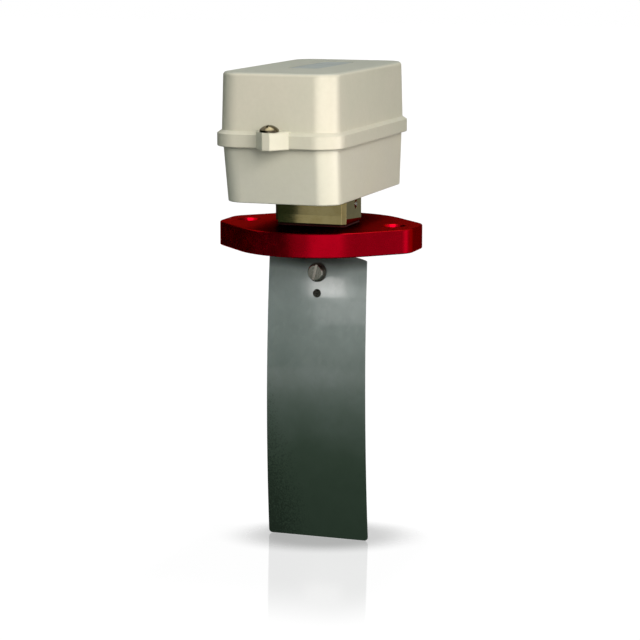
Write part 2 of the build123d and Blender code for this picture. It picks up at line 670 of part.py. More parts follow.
def terminal_clamps():
    """Metal frames that grip the wire ends."""
    clamps = []
    low = BLOCK_LOW + POLE_CHAMBER_LOW
    half = POLE_CLAMP / 2
    for y in POLES:
        clamp = block(BLOCK_X - half, BLOCK_X + half, y - half, y + half, low, low + POLE_CLAMP_TALL)
        clamp -= block(BLOCK_X - POLE_CLAMP, BLOCK_X + POLE_CLAMP, y - LEAD_R - LOOSE_FIT, y + LEAD_R + LOOSE_FIT,
                       low + HEAD_EDGE, low + POLE_CLAMP / 2)
        clamp -= rod_z(BLOCK_X, y, low + HEAD_EDGE, low + POLE_CLAMP, M3_CHEESE[2] + SEAT_FIT)
        clamps.append(clamp)
    return joined(clamps)


def terminal_screws():
    """Clamp screws, their heads sunk in the block's wells."""
    head_r, head_h, shank_r, slot, deep = M3_CHEESE
    size = (POLE_WELL_R - LOOSE_FIT, head_h, shank_r, slot, deep)
    low = BLOCK_LOW + POLE_CHAMBER_LOW
    seat = low + POLE_CHAMBER + CUT
    long = seat - low - POLE_CLAMP / 2
    return at_spots(cheese_screw(size, long), [(BLOCK_X, y) for y in POLES], seat)


def block_screws():
    screw = cheese_screw(M3_CHEESE, BLOCK_EAR_TALL + SHEET_GRIP)
    return at_spots(screw, BLOCK_SCREW_SPOTS, BLOCK_LOW + BLOCK_EAR_TALL)


def switch_leads():
    """Three insulated wires from the switch blades over to the block's clamps."""
    start = SWITCH_HIGH + BLADE_TALL
    end_z = BLOCK_LOW + POLE_CHAMBER_LOW + (HEAD_EDGE + POLE_CLAMP / 2) / 2
    end_x = BLOCK_X + POLE_CLAMP / 2 - CUT
    leads = []
    for blade_y, pole_y in zip(BLADES, POLES):
        top = start + LEAD_RISE
        corners = [(SWITCH_X, blade_y, start), (SWITCH_X, blade_y, top), (LEAD_SIDE, pole_y, top),
                   (LEAD_SIDE, pole_y, end_z), (end_x, pole_y, end_z)]
        path = FilletPolyline(*corners, radius=LEAD_BEND)
        leads.append(sweep(Plane(origin=path @ 0, z_dir=path % 0) * Circle(LEAD_R), path))
    return joined(leads)


def earth_screw():
    screw = cheese_screw(M4_CHEESE, EARTH_WASHER_THICK + SHEET_GRIP)
    return Pos(EARTH_X, EARTH_Y, FLOOR_Z + EARTH_RAISE + EARTH_WASHER_THICK) * screw


def earth_washer():
    """Square clamp washer."""
    half = EARTH_WASHER / 2
    low = FLOOR_Z + EARTH_RAISE
    plate = block(EARTH_X - half, EARTH_X + half, EARTH_Y - half, EARTH_Y + half, low, low + EARTH_WASHER_THICK)
    return plate - rod_z(EARTH_X, EARTH_Y, low - CUT, low + 2 * CUT, M4_CHEESE[2] + SEAT_FIT)


def neck_screws():
    screw = cheese_screw(M4_CHEESE, BASE_FLOOR + NECK_GASKET + NECK_GRIP)
    return at_spots(screw, NECK_SCREW_SPOTS, FLOOR_Z)


def flange_screws():
    screw = sunk_screw(M4_CHEESE[2], NECK_LOW + NECK_GRIP)
    return joined([Pos(x, y, 0) * Rot(180, 0, 0) * screw for x, y in NECK_SCREW_SPOTS])


def lug_prism(inset, side, z0, z1):
    """Rounded wedge on a short end's rim (side -1 front, 1 back), drawn in by an inset."""
    lean = atan2(LUG_HALF - LUG_NOSE, LUG_OUT)
    root = LUG_HALF - inset / cos(lean)
    nose = LUG_NOSE + inset * (sin(lean) - 1) / cos(lean)
    rim = BASE_Y / 2 + RIM_OUT
    inner = BASE_Y / 2 - BASE_WALL / 2
    outer = rim + LUG_OUT - inset
    points = [(-root, inner), (-root, rim), (-nose, outer), (nose, outer), (root, rim), (root, inner)]
    face = make_face(Polyline(*points, close=True))
    face = fillet(face.vertices().sort_by(Axis.Y)[-2:], LUG_ROUND)
    prism = extrude(Pos(0, 0, z0) * face, z1 - z0)
    return Pos(0, BASE_SHIFT, 0) * Rot(0, 0, 90 + side * 90 - 180) * prism


def lug_screw_y(side):
    return BASE_SHIFT + side * (BASE_Y / 2 + RIM_OUT + LUG_SCREW)


def base_shell(inset, z0, z1, corner):
    """Solid between two levels of the base's tapering outline, drawn in by an inset."""
    def level(z):
        share = (BASE_HIGH - z) / BASE_HEIGHT
        half = BASE_X / 2 - inset - share * BASE_TAPER_X
        front = BASE_FRONT + inset + share * BASE_TAPER_FRONT
        back = BASE_BACK - inset - share * BASE_TAPER_BACK
        return plan(half, front, back, corner, z)
    return loft([level(z0), level(z1)])


def floor_bosses(body):
    """Adds the pillars that carry the inner fittings and drills them."""
    spots = [(BRACKET_SCREW_X, y, BOSS_R, BRACKET_LOW, M3_CHEESE) for y in BRACKET_FEET]
    spots += [(x, y, BOSS_R, BLOCK_LOW, M3_CHEESE) for x, y in BLOCK_SCREW_SPOTS]
    spots += [(EARTH_X, EARTH_Y, EARTH_BOSS_R, FLOOR_Z + EARTH_RAISE, M4_CHEESE)]
    for x, y, radius, top, size in spots:
        body += rod_z(x, y, FLOOR_Z - CUT, top, radius)
        body -= rod_z(x, y, top - SHEET_GRIP - SEAT_FIT, top + CUT, size[2] + SEAT_FIT)
    for x, y in NECK_SCREW_SPOTS:
        body -= rod_z(x, y, BASE_LOW - CUT, FLOOR_Z + CUT, M4_CHEESE[2] + SEAT_FIT)
    return body - slot_cut(BASE_LOW - CUT, FLOOR_Z + CUT)


def housing_base():
    """Cast tub with tapered walls, a drilled floor, lug bosses and a drilled pad for the gland."""
    body = base_shell(0, BASE_LOW, BASE_HIGH, BASE_CORNER)
    body = fillet(body.faces().sort_by(Axis.Z)[0].edges(), BASE_EDGE)
    body += rod_y(0, GLAND_Z, GLAND_FACE - BASE_WALL, GLAND_FACE, GLAND_PAD_R)
    for side in (-1, 1):
        body += lug_prism(LUG_WALL + LOOSE_FIT, side, RIM_LOW, BASE_HIGH)
        body -= rod_z(0, lug_screw_y(side), RIM_LOW - CUT, COVER_HIGH, COVER_SCREW_R + RUN_FIT)
    hollow = base_shell(BASE_WALL, FLOOR_Z, BASE_HIGH + CUT, BASE_CORNER - BASE_WALL)
    body -= hollow - rod_y(0, GLAND_Z, GLAND_SEAT, GLAND_FACE, GLAND_PAD_R)
    body -= rod_y(0, GLAND_Z, GLAND_SEAT - CUT, GLAND_FACE + CUT, GLAND_THREAD_R + SEAT_FIT)
    return floor_bosses(body)


def cover_level(out, corner, z):
    """Level outline of the cover, a distance outside the base's upper outline."""
    return plan(BASE_X / 2 + out, BASE_FRONT - out, BASE_BACK + out, corner, z)


def cover_gasket():
    """Cord in the joint between base and cover."""
    outer = extrude(cover_level(-GASKET_INSET / 2, BASE_CORNER, BASE_HIGH), COVER_GASKET)
    inner = extrude(cover_level(COVER_LAP - COVER_WALL, BASE_CORNER - COVER_GASKET, BASE_HIGH), COVER_GASKET)
    return outer - inner


def cover_shape():
    """Outside of the cover: skirt, sloping shoulder, drafted walls and eased top edge."""
    skirt = extrude(cover_level(RIM_OUT, BASE_CORNER + RIM_OUT, RIM_LOW), RIM_FACE)
    skirt = fillet(skirt.faces().sort_by(Axis.Z)[0].edges(), RIM_ROUND)
    shoulder = loft([cover_level(RIM_OUT, BASE_CORNER + RIM_OUT, RIM_EDGE),
                     cover_level(COVER_LAP, BASE_CORNER + COVER_LAP, RIM_HIGH)])
    walls = loft([cover_level(COVER_LAP, BASE_CORNER + COVER_LAP, RIM_EDGE),
                  cover_level(COVER_LAP - COVER_DRAFT, BASE_CORNER + COVER_LAP, COVER_HIGH)])
    walls = fillet(walls.faces().sort_by(Axis.Z)[-1].edges(), COVER_TOP_EDGE)
    return skirt + shoulder + walls


def housing_cover():
    """Cast cover with a screw lug at each short end and a shallow bare panel on top."""
    body = cover_shape()
    lug_low = RIM_LOW - LUG_DROP
    for side in (-1, 1):
        lug = lug_prism(0, side, lug_low, RIM_HIGH + LUG_RISE - RIM_SLOPE)
        body += fillet(lug.edges().filter_by(Plane.XY), LUG_EDGE)
    body -= extrude(cover_level(LOOSE_FIT, BASE_CORNER + LOOSE_FIT, lug_low - CUT), SEAT_Z - lug_low + CUT)
    body -= loft([cover_level(COVER_LAP - COVER_WALL, BASE_CORNER - COVER_GASKET, SEAT_Z - CUT),
                  cover_level(COVER_LAP - COVER_WALL - COVER_DRAFT, BASE_CORNER - COVER_GASKET,
                              COVER_HIGH - COVER_ROOF)])
    for side in (-1, 1):
        body -= lug_prism(LUG_WALL, side, lug_low - CUT, BASE_HIGH + LOOSE_FIT)
        body -= rod_z(0, lug_screw_y(side), lug_low, COVER_HIGH, COVER_SCREW_R + LOOSE_FIT)
    panel = Pos(0, PANEL_SHIFT, COVER_HIGH - PANEL_DEEP) * RectangleRounded(PANEL_X, PANEL_Y, PANEL_CORNER)
    return body - extrude(panel, PANEL_DEEP + CUT)


def cover_screws():
    seat = RIM_HIGH + LUG_RISE - RIM_SLOPE
    return at_spots(dome_screw(), [(0, lug_screw_y(side)) for side in (-1, 1)], seat)


def gland_body():
    """Threaded body: inner thread through the wall, hexagon outside it and a spigot for the nut."""
    hex_end = GLAND_FACE + GLAND_HEX_LONG
    body = rod_y(0, GLAND_Z, GLAND_SEAT - GLAND_INNER, GLAND_FACE, GLAND_THREAD_R)
    body += hex_y(0, GLAND_Z, GLAND_FACE, hex_end, GLAND_HEX)
    body += rod_y(0, GLAND_Z, hex_end, hex_end + GLAND_SPIGOT, GLAND_SPIGOT_R)
    return body - rod_y(0, GLAND_Z, GLAND_SEAT - GLAND_INNER - CUT, hex_end + GLAND_SPIGOT + CUT, GLAND_BORE_R)


def gland_locknut():
    body = hex_y(0, GLAND_Z, GLAND_SEAT - LOCKNUT_THICK, GLAND_SEAT, LOCKNUT_HEX)
    return body - rod_y(0, GLAND_Z, GLAND_SEAT - LOCKNUT_THICK - CUT, GLAND_SEAT + CUT, GLAND_THREAD_R + SEAT_FIT)


def gland_seal():
    """Rubber ring that grips a cable."""
    low = GLAND_FACE + GLAND_HEX_LONG + CUT
    ring = rod_y(0, GLAND_Z, low, low + GLAND_SEAL_LONG, GLAND_BORE_R - SEAT_FIT)
    return ring - rod_y(0, GLAND_Z, low - CUT, low + GLAND_SEAL_LONG + CUT, GLAND_SEAL_R)


def gland_nut():
    """Cap nut with a hexagon and a rounded mouth."""
    low = GLAND_FACE + GLAND_HEX_LONG + LOOSE_FIT
    high = low + GLAND_NUT_LONG
    step = low + GLAND_NUT_HEX_LONG
    body = hex_y(0, GLAND_Z, low, step, GLAND_NUT_HEX)
    taper = Cone(GLAND_NUT_HEX / 2, GLAND_NUT_TIP_R, high - step)
    body += Pos(0, (step + high) / 2, GLAND_Z) * Rot(-90, 0, 0) * taper
    body -= rod_y(0, GLAND_Z, low - CUT, high - GLAND_NUT_LIP, GLAND_SPIGOT_R + RUN_FIT)
    return body - rod_y(0, GLAND_Z, low, high + CUT, GLAND_NUT_MOUTH_R)


PIECES = (
    mounting_flange, flange_gasket, pivot_body, pivot_axle, pendulum_arm, paddle, paddle_screw, paddle_washer,
    paddle_pin, flange_screws, neck_gasket, neck_screws, housing_base, cover_gasket, housing_cover, cover_screws,
    switch_lever, lever_screws, switch_bracket, bracket_screws, microswitch, switch_plunger, switch_terminals,
    switch_screws, switch_nuts, range_spring, range_bolt, adjusting_nut, terminal_block, terminal_clamps,
    terminal_screws, block_screws, switch_leads, earth_screw, earth_washer, gland_body, gland_nut, gland_seal,
    gland_locknut,
)

os.makedirs("parts", exist_ok=True)
for piece in PIECES:
    export_step(piece(), "parts/" + piece.__name__ + ".step")
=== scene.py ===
from math import cos, radians, sin, tau

import bpy
import numpy as np
from bpy.props import FloatProperty, FloatVectorProperty, IntProperty, PointerProperty
from bpy.types import Operator, Panel, PropertyGroup
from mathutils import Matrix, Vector


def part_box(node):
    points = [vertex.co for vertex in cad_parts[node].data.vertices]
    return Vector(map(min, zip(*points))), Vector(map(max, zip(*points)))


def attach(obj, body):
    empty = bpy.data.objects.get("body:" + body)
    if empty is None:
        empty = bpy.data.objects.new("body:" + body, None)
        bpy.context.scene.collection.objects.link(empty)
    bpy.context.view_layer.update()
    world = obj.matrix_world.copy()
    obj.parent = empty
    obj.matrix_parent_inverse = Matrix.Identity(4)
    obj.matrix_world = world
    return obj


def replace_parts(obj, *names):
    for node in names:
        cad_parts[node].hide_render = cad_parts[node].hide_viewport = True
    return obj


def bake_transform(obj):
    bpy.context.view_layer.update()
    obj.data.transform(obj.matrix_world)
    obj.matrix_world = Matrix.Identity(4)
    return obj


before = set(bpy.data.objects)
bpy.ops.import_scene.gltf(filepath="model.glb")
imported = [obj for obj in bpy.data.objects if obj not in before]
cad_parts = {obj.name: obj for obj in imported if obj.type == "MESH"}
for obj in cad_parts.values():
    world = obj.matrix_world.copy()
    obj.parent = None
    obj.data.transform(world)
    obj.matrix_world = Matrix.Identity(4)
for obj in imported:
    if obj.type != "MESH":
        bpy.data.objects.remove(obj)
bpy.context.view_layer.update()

bl_info = {
    "name": "Air flow switch",
    "version": (1, 0, 0),
    "blender": (4, 5, 0),
    "location": "3D View > Sidebar > Flow switch",
    "description": "Finishes, fine pieces and studio for the air flow switch",
    "category": "Object",
}

MM = 0.001

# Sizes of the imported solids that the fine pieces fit
RECESS_HALF = (9.0 * MM, 30.0 * MM)  # half width and half length of the lid's recess
RECESS_MIDDLE = (0.0, 1.0 * MM)
RECESS_DEEP = 0.6 * MM
BLADE_HALF = 2.4 * MM                # half width of a switch terminal
BLADE_COUNT = 3
GLAND_RADIUS = 8.0 * MM              # plain radius of the gland's threaded end

# Fineness of the fine pieces: points around, and rows of points in one turn
LID_POINTS, EYE_POINTS, WIRE_POINTS = 160, 20, 14
THREAD_ROWS, WIRE_ROWS = 10, 28

# Studio
FLAT = 0.0001              # weight that leaves an axis out of a distance
FRAME_WIDTH = 36           # millimetres of frame that the lens is given for
FOOT = (0.003, 0.0, 0.0)   # middle of the soft shadow at the paddle's foot
SHADE_TURN = 0.34          # turn of its long axis from the paddle's width
CARD_DISTANCE = 0.618      # from the object's axis to the upright cards
CARD_STEP = 4              # degrees between the points of a bent card


def tone(red, green, blue):
    """Linear colour of a tone given as 0 to 255 on screen."""
    screen = np.array([red, green, blue]) / 255
    return tuple(np.where(screen <= 0.04045, screen / 12.92, ((screen + 0.055) / 1.055) ** 2.4).tolist())


def colour_value(name, description, default):
    """Property for a linear colour."""
    return FloatVectorProperty(name=name, description=description, subtype="COLOR", size=3, min=0, max=1,
                               default=default)


def length_value(name, description, default):
    """Property for a length in metres."""
    return FloatProperty(name=name, description=description, subtype="DISTANCE", unit="LENGTH", min=0,
                         default=default)


def power_value(name, description, default):
    """Property for a lamp's power in watts."""
    return FloatProperty(name=name, description=description, subtype="POWER", unit="POWER", min=0,
                         default=default)


class FlowSwitchFinishes(PropertyGroup):
    """Colours and surface grain."""
    paint: colour_value("Housing paint", "Light warm grey enamel", tone(207, 201, 182))
    paint_shade: colour_value("Paint in the shade", "Tone the enamel drifts to", tone(200, 198, 178))
    # darker tone of the lid's top: painted shade
    paint_lid_top_shade: colour_value("Lid top, painted shade", "Darker tone painted on the lid's top as shade", tone(172, 172, 160))
    # darker copy of the housing paint for the lower casting: painted shade
    paint_base_shaded: colour_value("Base paint, painted shade", "The same enamel, darker on the lower casting as painted shade", tone(197, 195, 179))
    anodise: colour_value("Flange red", "Dyed anodised aluminium", tone(188, 2, 32))
    anodise_deep: colour_value("Flange deep red", "Tone between the tool marks", tone(160, 2, 18))
    nickel: colour_value("Neck nickel", "Warm nickel plate", tone(196, 184, 134))
    nickel_worn: colour_value("Neck worn plate", "Plate thinned over brass", tone(176, 160, 104))
    copper: colour_value("Neck worn edges", "Copper where the plate is rubbed off", tone(214, 150, 122))
    sheet_high: colour_value("Paddle, upper end", "Clean rolled sheet", tone(162, 174, 172))
    # tone toward the paddle's foot: painted dark reflection
    sheet_low_painted_dark: colour_value("Paddle, lower end", "Dark reflection painted toward the foot", tone(77, 97, 81))
    metal_grain: length_value("Metal grain", "Width of one tool mark", 0.35 * MM)


class FlowSwitchForm(PropertyGroup):
    """Sizes of the fine pieces that are made here."""
    plate_gap: length_value("Plate gap", "Margin of the lid plate in its recess", 0.35 * MM)
    plate_thick: length_value("Plate thickness", "Thickness of the lid plate", 0.4 * MM)
    range_radius: length_value("Range bolt radius", "Radius over the thread's crests", 2.0 * MM)
    range_pitch: length_value("Range thread pitch", "Thread of the eye bolt", 0.7 * MM)
    range_depth: length_value("Range thread depth", "Depth of its grooves", 0.4 * MM)
    eye_wire: length_value("Eye wire radius", "Half thickness of the eye", 0.8 * MM)
    spring_wire: length_value("Spring wire radius", "Half thickness of the spring's wire", 0.45 * MM)
    spring_lead: length_value("Spring lead", "Height from a hook's centre to the coil", 1.5 * MM)
    spring_turns: IntProperty(name="Spring turns", description="Turns of the range spring", min=1, default=7)
    gland_pitch: length_value("Gland thread pitch", "Thread of the cable gland", 1.5 * MM)
    gland_depth: length_value("Gland thread depth", "Depth of its grooves", 0.3 * MM)
    gland_proud: length_value("Gland thread rise", "Height of the thread's crests", 0.14 * MM)
    gland_core: length_value("Gland core radius", "Radius inside the gland's threaded end", 7.2 * MM)
    lead_radius: length_value("Lead radius", "Half thickness of a switch lead", 0.8 * MM)
    sleeve_wall: length_value("Sleeve wall", "Wall of the sleeve over a joint", 0.35 * MM)
    sleeve_down: length_value("Sleeve on the blade", "Blade that a sleeve covers", 4.0 * MM)
    sleeve_up: length_value("Sleeve on the lead", "Lead that a sleeve covers", 4.2 * MM)
    around: IntProperty(name="Fineness", description="Points around one turn", min=12, default=40)


class FlowSwitchStudio(PropertyGroup):
    """Camera and light."""
    camera_place: FloatVectorProperty(name="Camera", description="Place of the lens", subtype="TRANSLATION",
                                      unit="LENGTH", size=3, default=(0.4050, -1.1468, 0.1710))
    camera_aim: FloatVectorProperty(name="Aim", description="Point at the centre of the view",
                                    subtype="TRANSLATION", unit="LENGTH", size=3,
                                    default=(-0.00036, -0.00013, -0.04019))
    lens: FloatProperty(name="Lens", description="Focal length for a 36 mm frame", min=1, default=129.285)
    floor_z: length_value("Floor drop", "Depth of the floor below the flange", 0.1592)
    sky: FloatProperty(name="Sky", description="Strength of the even light", min=0, default=0.39)
    key: power_value("Key light", "Main light from the front right", 6.8)
    fill: power_value("Fill light", "Cool light from the left", 1.05)
    side: power_value("Side light", "Warm light from the right", 2.0)
    corner: power_value("Corner light", "Each lamp that the base's corners mirror", 1.14)
    top: power_value("Top light", "Light overhead", 0.4)
    table: power_value("Table light", "Light overhead that falls on the floor alone", 36.0)
    glint: power_value("Paddle light", "Each lamp that the paddle's upper end mirrors", 0.026)


class Finish:
    """One material while it is put together. Its calls add nodes and give back their outputs."""

    def __init__(self, name, colour, roughness, metallic=0.0):
        self.material = bpy.data.materials.new(name)
        self.material.use_nodes = True
        tree = self.material.node_tree
        self.nodes = tree.nodes
        self.links = tree.links
        self.surface = self.nodes["Principled BSDF"]
        self.set(Base_Color=(*colour, 1), Roughness=roughness, Metallic=metallic)
        self.place = self.nodes.new("ShaderNodeTexCoord").outputs["Object"]

    def set(self, **values):
        """Gives surface sockets a value or a link; an underscore stands for a space."""
        for name, value in values.items():
            self.feed(self.surface.inputs[name.replace("_", " ")], value)

    def feed(self, socket, value):
        """Links an output to a socket, or sets a plain value."""
        if isinstance(value, bpy.types.NodeSocket):
            self.links.new(value, socket)
        else:
            socket.default_value = value

    def show(self, surface):
        """Takes this surface in place of the first one."""
        self.links.new(surface, self.nodes["Material Output"].inputs["Surface"])

    def stretched(self, x=1.0, y=1.0, z=1.0, turn=(0, 0, 0), centre=(0, 0, 0)):
        """Object place, turned and scaled by axis about a centre."""
        move = self.nodes.new("ShaderNodeMapping")
        move.vector_type = "TEXTURE"
        move.inputs["Location"].default_value = centre
        move.inputs["Rotation"].default_value = turn
        move.inputs["Scale"].default_value = (1 / x, 1 / y, 1 / z)
        self.links.new(self.place, move.inputs["Vector"])
        return move.outputs["Vector"]

    def noise(self, size, detail=2.0, place=None):
        """Smooth noise whose lumps are about size metres wide."""
        node = self.nodes.new("ShaderNodeTexNoise")
        self.feed(node.inputs["Vector"], place or self.place)
        node.inputs["Scale"].default_value = 1 / size
        node.inputs["Detail"].default_value = detail
        node.inputs["Roughness"].default_value = 0.5
        return node.outputs["Fac"]

    def cells(self, size, place=None):
        """Distance and colour of cells about size metres wide."""
        node = self.nodes.new("ShaderNodeTexVoronoi")
        self.feed(node.inputs["Vector"], place or self.place)
        node.inputs["Scale"].default_value = 1 / size
        return node.outputs

    def along(self, axis):
        """One coordinate of the object place, in metres."""
        node = self.nodes.new("ShaderNodeSeparateXYZ")
        self.links.new(self.place, node.inputs["Vector"])
        return node.outputs[axis]

    def away(self, centre=(0, 0, 0), x=1.0, y=1.0, z=1.0, turn=(0, 0, 0)):
        """Distance from a centre, with each turned axis weighted."""
        reach = self.nodes.new("ShaderNodeVectorMath")
        reach.operation = "LENGTH"
        self.links.new(self.stretched(x, y, z, turn, centre), reach.inputs[0])
        return reach.outputs["Value"]

    def between(self, value, low, high, to=(0.0, 1.0), smooth=False):
        """Value carried from one span to another, and held at its ends."""
        node = self.nodes.new("ShaderNodeMapRange")
        node.clamp = True
        if smooth:
            node.interpolation_type = "SMOOTHSTEP"
        for name, number in (("From Min", low), ("From Max", high), ("To Min", to[0]), ("To Max", to[1])):
            node.inputs[name].default_value = number
        self.feed(node.inputs["Value"], value)
        return node.outputs["Result"]

    def math(self, operation, first, second=0.5):
        """Arithmetic on numbers or outputs."""
        node = self.nodes.new("ShaderNodeMath")
        node.operation = operation
        self.feed(node.inputs[0], first)
        self.feed(node.inputs[1], second)
        return node.outputs["Value"]

    def product(self, first, second):
        """Product of two numbers or outputs."""
        return self.math("MULTIPLY", first, second)

    def blend(self, share, first, second):
        """Colour between two colours, each a linear triple or an output."""
        node = self.nodes.new("ShaderNodeMix")
        node.data_type = "RGBA"
        self.feed(node.inputs["Factor"], share)
        for name, value in (("A", first), ("B", second)):
            socket = next(s for s in node.inputs if s.name == name and s.type == "RGBA")
            self.feed(socket, value if isinstance(value, bpy.types.NodeSocket) else (*value, 1))
        return next(s for s in node.outputs if s.type == "RGBA")

    def relief(self, height, depth, strength=1.0, under=None):
        """Adds a bump of that depth in metres, over another one if given."""
        node = self.nodes.new("ShaderNodeBump")
        node.inputs["Strength"].default_value = strength
        node.inputs["Distance"].default_value = depth
        self.feed(node.inputs["Height"], height)
        if under:
            self.feed(node.inputs["Normal"], under)
        return node.outputs["Normal"]

    def eased(self, radius):
        """Normals rounded off near sharp edges."""
        node = self.nodes.new("ShaderNodeBevel")
        node.samples = 6
        node.inputs["Radius"].default_value = radius
        return node.outputs["Normal"]

    def rubbed(self, radius):
        """1 along sharp edges and 0 on flats: how far the rounded-off normal leans from the true one."""
        lean = self.nodes.new("ShaderNodeVectorMath")
        lean.operation = "DOT_PRODUCT"
        self.links.new(self.eased(radius), lean.inputs[0])
        self.links.new(self.nodes.new("ShaderNodeNewGeometry").outputs["Normal"], lean.inputs[1])
        return self.between(lean.outputs["Value"], 0.80, 0.985, to=(1.0, 0.0))

    def openness(self, reach):
        """1 in the open and 0 where other pieces stand close."""
        node = self.nodes.new("ShaderNodeAmbientOcclusion")
        node.inputs["Distance"].default_value = reach
        node.samples = 8
        return node.outputs["AO"]

    def glow(self, colour, strength):
        """Plain glowing surface."""
        node = self.nodes.new("ShaderNodeEmission")
        node.inputs["Color"].default_value = (*colour, 1)
        self.feed(node.inputs["Strength"], strength)
        return node.outputs[0]

    def glossy(self, roughness, colour=None):
        """Mirroring surface."""
        node = self.nodes.new("ShaderNodeBsdfGlossy")
        node.inputs["Roughness"].default_value = roughness
        if colour:
            self.feed(node.inputs["Color"], colour)
        return node.outputs[0]

    def matt(self, grey):
        """Matt grey surface."""
        node = self.nodes.new("ShaderNodeBsdfDiffuse")
        node.inputs["Color"].default_value = (grey, grey, grey, 1)
        return node.outputs[0]

    def mixed(self, share, first, second):
        """Surface between two surfaces."""
        node = self.nodes.new("ShaderNodeMixShader")
        self.feed(node.inputs["Fac"], share)
        self.links.new(first, node.inputs[1])
        self.links.new(second, node.inputs[2])
        return node.outputs[0]

    def added(self, first, second):
        """Sum of two surfaces."""
        node = self.nodes.new("ShaderNodeAddShader")
        self.links.new(first, node.inputs[0])
        self.links.new(second, node.inputs[1])
        return node.outputs[0]


def enamel(name, paint, shade, top_shade_tone, lid):
    """Sprayed and stoved enamel over a casting: faint ripple, slow drift of tone, a little gloss, a few
    tiny pits, and on the lid's top, whose height is lid, a rougher finish and a darker, greyer tone that is
    painted shade."""
    finish = Finish(name, paint, roughness=0.3)
    stain, pitted = tone(164, 160, 138), tone(92, 82, 66)
    drift = finish.noise(38 * MM, 3)
    mottle = finish.noise(2.4 * MM, 2)
    tint = finish.blend(finish.between(drift, 0.35, 0.7, to=(0.0, 0.8)), paint, shade)
    tint = finish.blend(finish.between(mottle, 0.3, 0.7, to=(0.0, 0.08)), tint, stain)
    pit = finish.cells(15 * MM)["Distance"]
    tint = finish.blend(finish.between(pit, 0.008, 0.016, to=(0.6, 0.0)), tint, pitted)
    # The lid's top is painted a darker, greyer tone, which is painted shade; it is also made rougher there
    shaded_lid_top = finish.between(finish.along("Z"), lid - 1.0 * MM, lid - 0.3 * MM)
    tint = finish.blend(finish.product(shaded_lid_top, 0.9), tint, top_shade_tone)
    ripple, orange_peel = finish.noise(1.6 * MM, 3), finish.noise(0.45 * MM, 2)
    normal = finish.relief(ripple, 0.05 * MM, 0.22, finish.eased(0.5 * MM))
    normal = finish.relief(orange_peel, 0.012 * MM, 0.4, normal)
    gloss = finish.between(finish.noise(9 * MM, 2), 0.3, 0.7, to=(0.28, 0.34))
    gloss = finish.math("ADD", gloss, finish.product(shaded_lid_top, 0.5))
    finish.set(Base_Color=tint, Roughness=gloss, Normal=normal)
    return finish.material


def anodised(name, look, top):
    """Dyed anodised aluminium, milled: fine tool marks, semi gloss, and paler edges that are partly wear and
    partly a painted highlight. It darkens with painted shade where another piece stands close, and the
    upper face, whose height is top, is satin."""
    bright, deep = look.anodise, look.anodise_deep
    worn, shaded = tone(214, 40, 60), tone(34, 0, 0)
    satin_open, satin_shaded = tone(148, 13, 10), tone(10, 0, 0)
    finish = Finish(name, bright, roughness=0.24, metallic=1.0)
    marks = finish.noise(look.metal_grain, 2, finish.stretched(x=0.06, y=0.06))
    tint = finish.blend(finish.between(marks, 0.3, 0.7, to=(0.0, 0.3)), bright, deep)
    tint = finish.blend(finish.between(finish.noise(14 * MM, 2), 0.35, 0.75, to=(0.0, 0.3)), tint, deep)
    # Paler tone along the edges: partly wear, partly a painted highlight
    tint = finish.blend(finish.product(finish.rubbed(0.3 * MM), 0.35), tint, worn)
    normal = finish.relief(marks, 0.02 * MM, 0.2, finish.eased(0.35 * MM))
    normal = finish.relief(finish.noise(0.3 * MM, 2), 0.008 * MM, 0.2, normal)
    gloss = finish.between(finish.noise(5 * MM, 3), 0.3, 0.7, to=(0.22, 0.30))
    # Darker where other pieces stand close: painted shade, on the sides and on the satin top
    openness = finish.openness(40 * MM)
    tint = finish.blend(finish.between(openness, 0.2, 0.55), shaded, tint)
    finish.set(Base_Color=tint, Roughness=gloss, Normal=normal, Specular_Tint=(0.7, 0.01, 0.02, 1))
    open_share = finish.between(openness, 0.2, 0.55, smooth=True)
    satin = finish.glossy(0.36, finish.blend(open_share, satin_shaded, satin_open))
    upper = finish.between(finish.along("Z"), top - 0.4 * MM, top - 0.05 * MM)
    finish.show(finish.mixed(upper, finish.surface.outputs[0], satin))
    return finish.material


def plated(name, colour, worn, rough, grain=0.3 * MM, wear=0.35, edge=0.25 * MM, rub=None, foot=None):
    """Plated or bare metal: fine random tool marks, cloudy gloss, some wear, and edges rubbed to a tone.
    Where a foot's height is given, the walls lean a little over the first millimetres above it."""
    finish = Finish(name, colour, roughness=rough, metallic=1.0)
    cloud = finish.noise(5 * MM, 3)
    marks = finish.noise(grain, 3, finish.stretched(x=0.25, y=0.25))
    tint = finish.blend(finish.between(cloud, 0.4, 0.75, to=(0.0, wear)), colour, worn)
    tint = finish.blend(finish.between(marks, 0.35, 0.8, to=(0.0, 0.35 * wear)), tint, worn)
    speckle = finish.between(finish.noise(0.8 * MM, 3), 0.38, 0.6)
    rubbed = finish.product(finish.rubbed(edge), speckle)
    tint = finish.blend(finish.product(rubbed, 0.6), tint, rub or worn)
    gloss = finish.between(marks, 0.2, 0.8, to=(max(0.4 * rough, 0.03), 1.4 * rough))
    normal = finish.relief(marks, 0.01 * MM, 0.4 * rough, finish.eased(edge))
    if foot is not None:
        lean_rise, lean_depth = 5 * MM, 0.31 * MM
        lean = finish.between(finish.along("Z"), foot, foot + lean_rise, to=(1.0, 0.0))
        normal = finish.relief(lean, lean_depth, under=normal)
    finish.set(Base_Color=tint, Roughness=gloss, Normal=normal)
    return finish.material


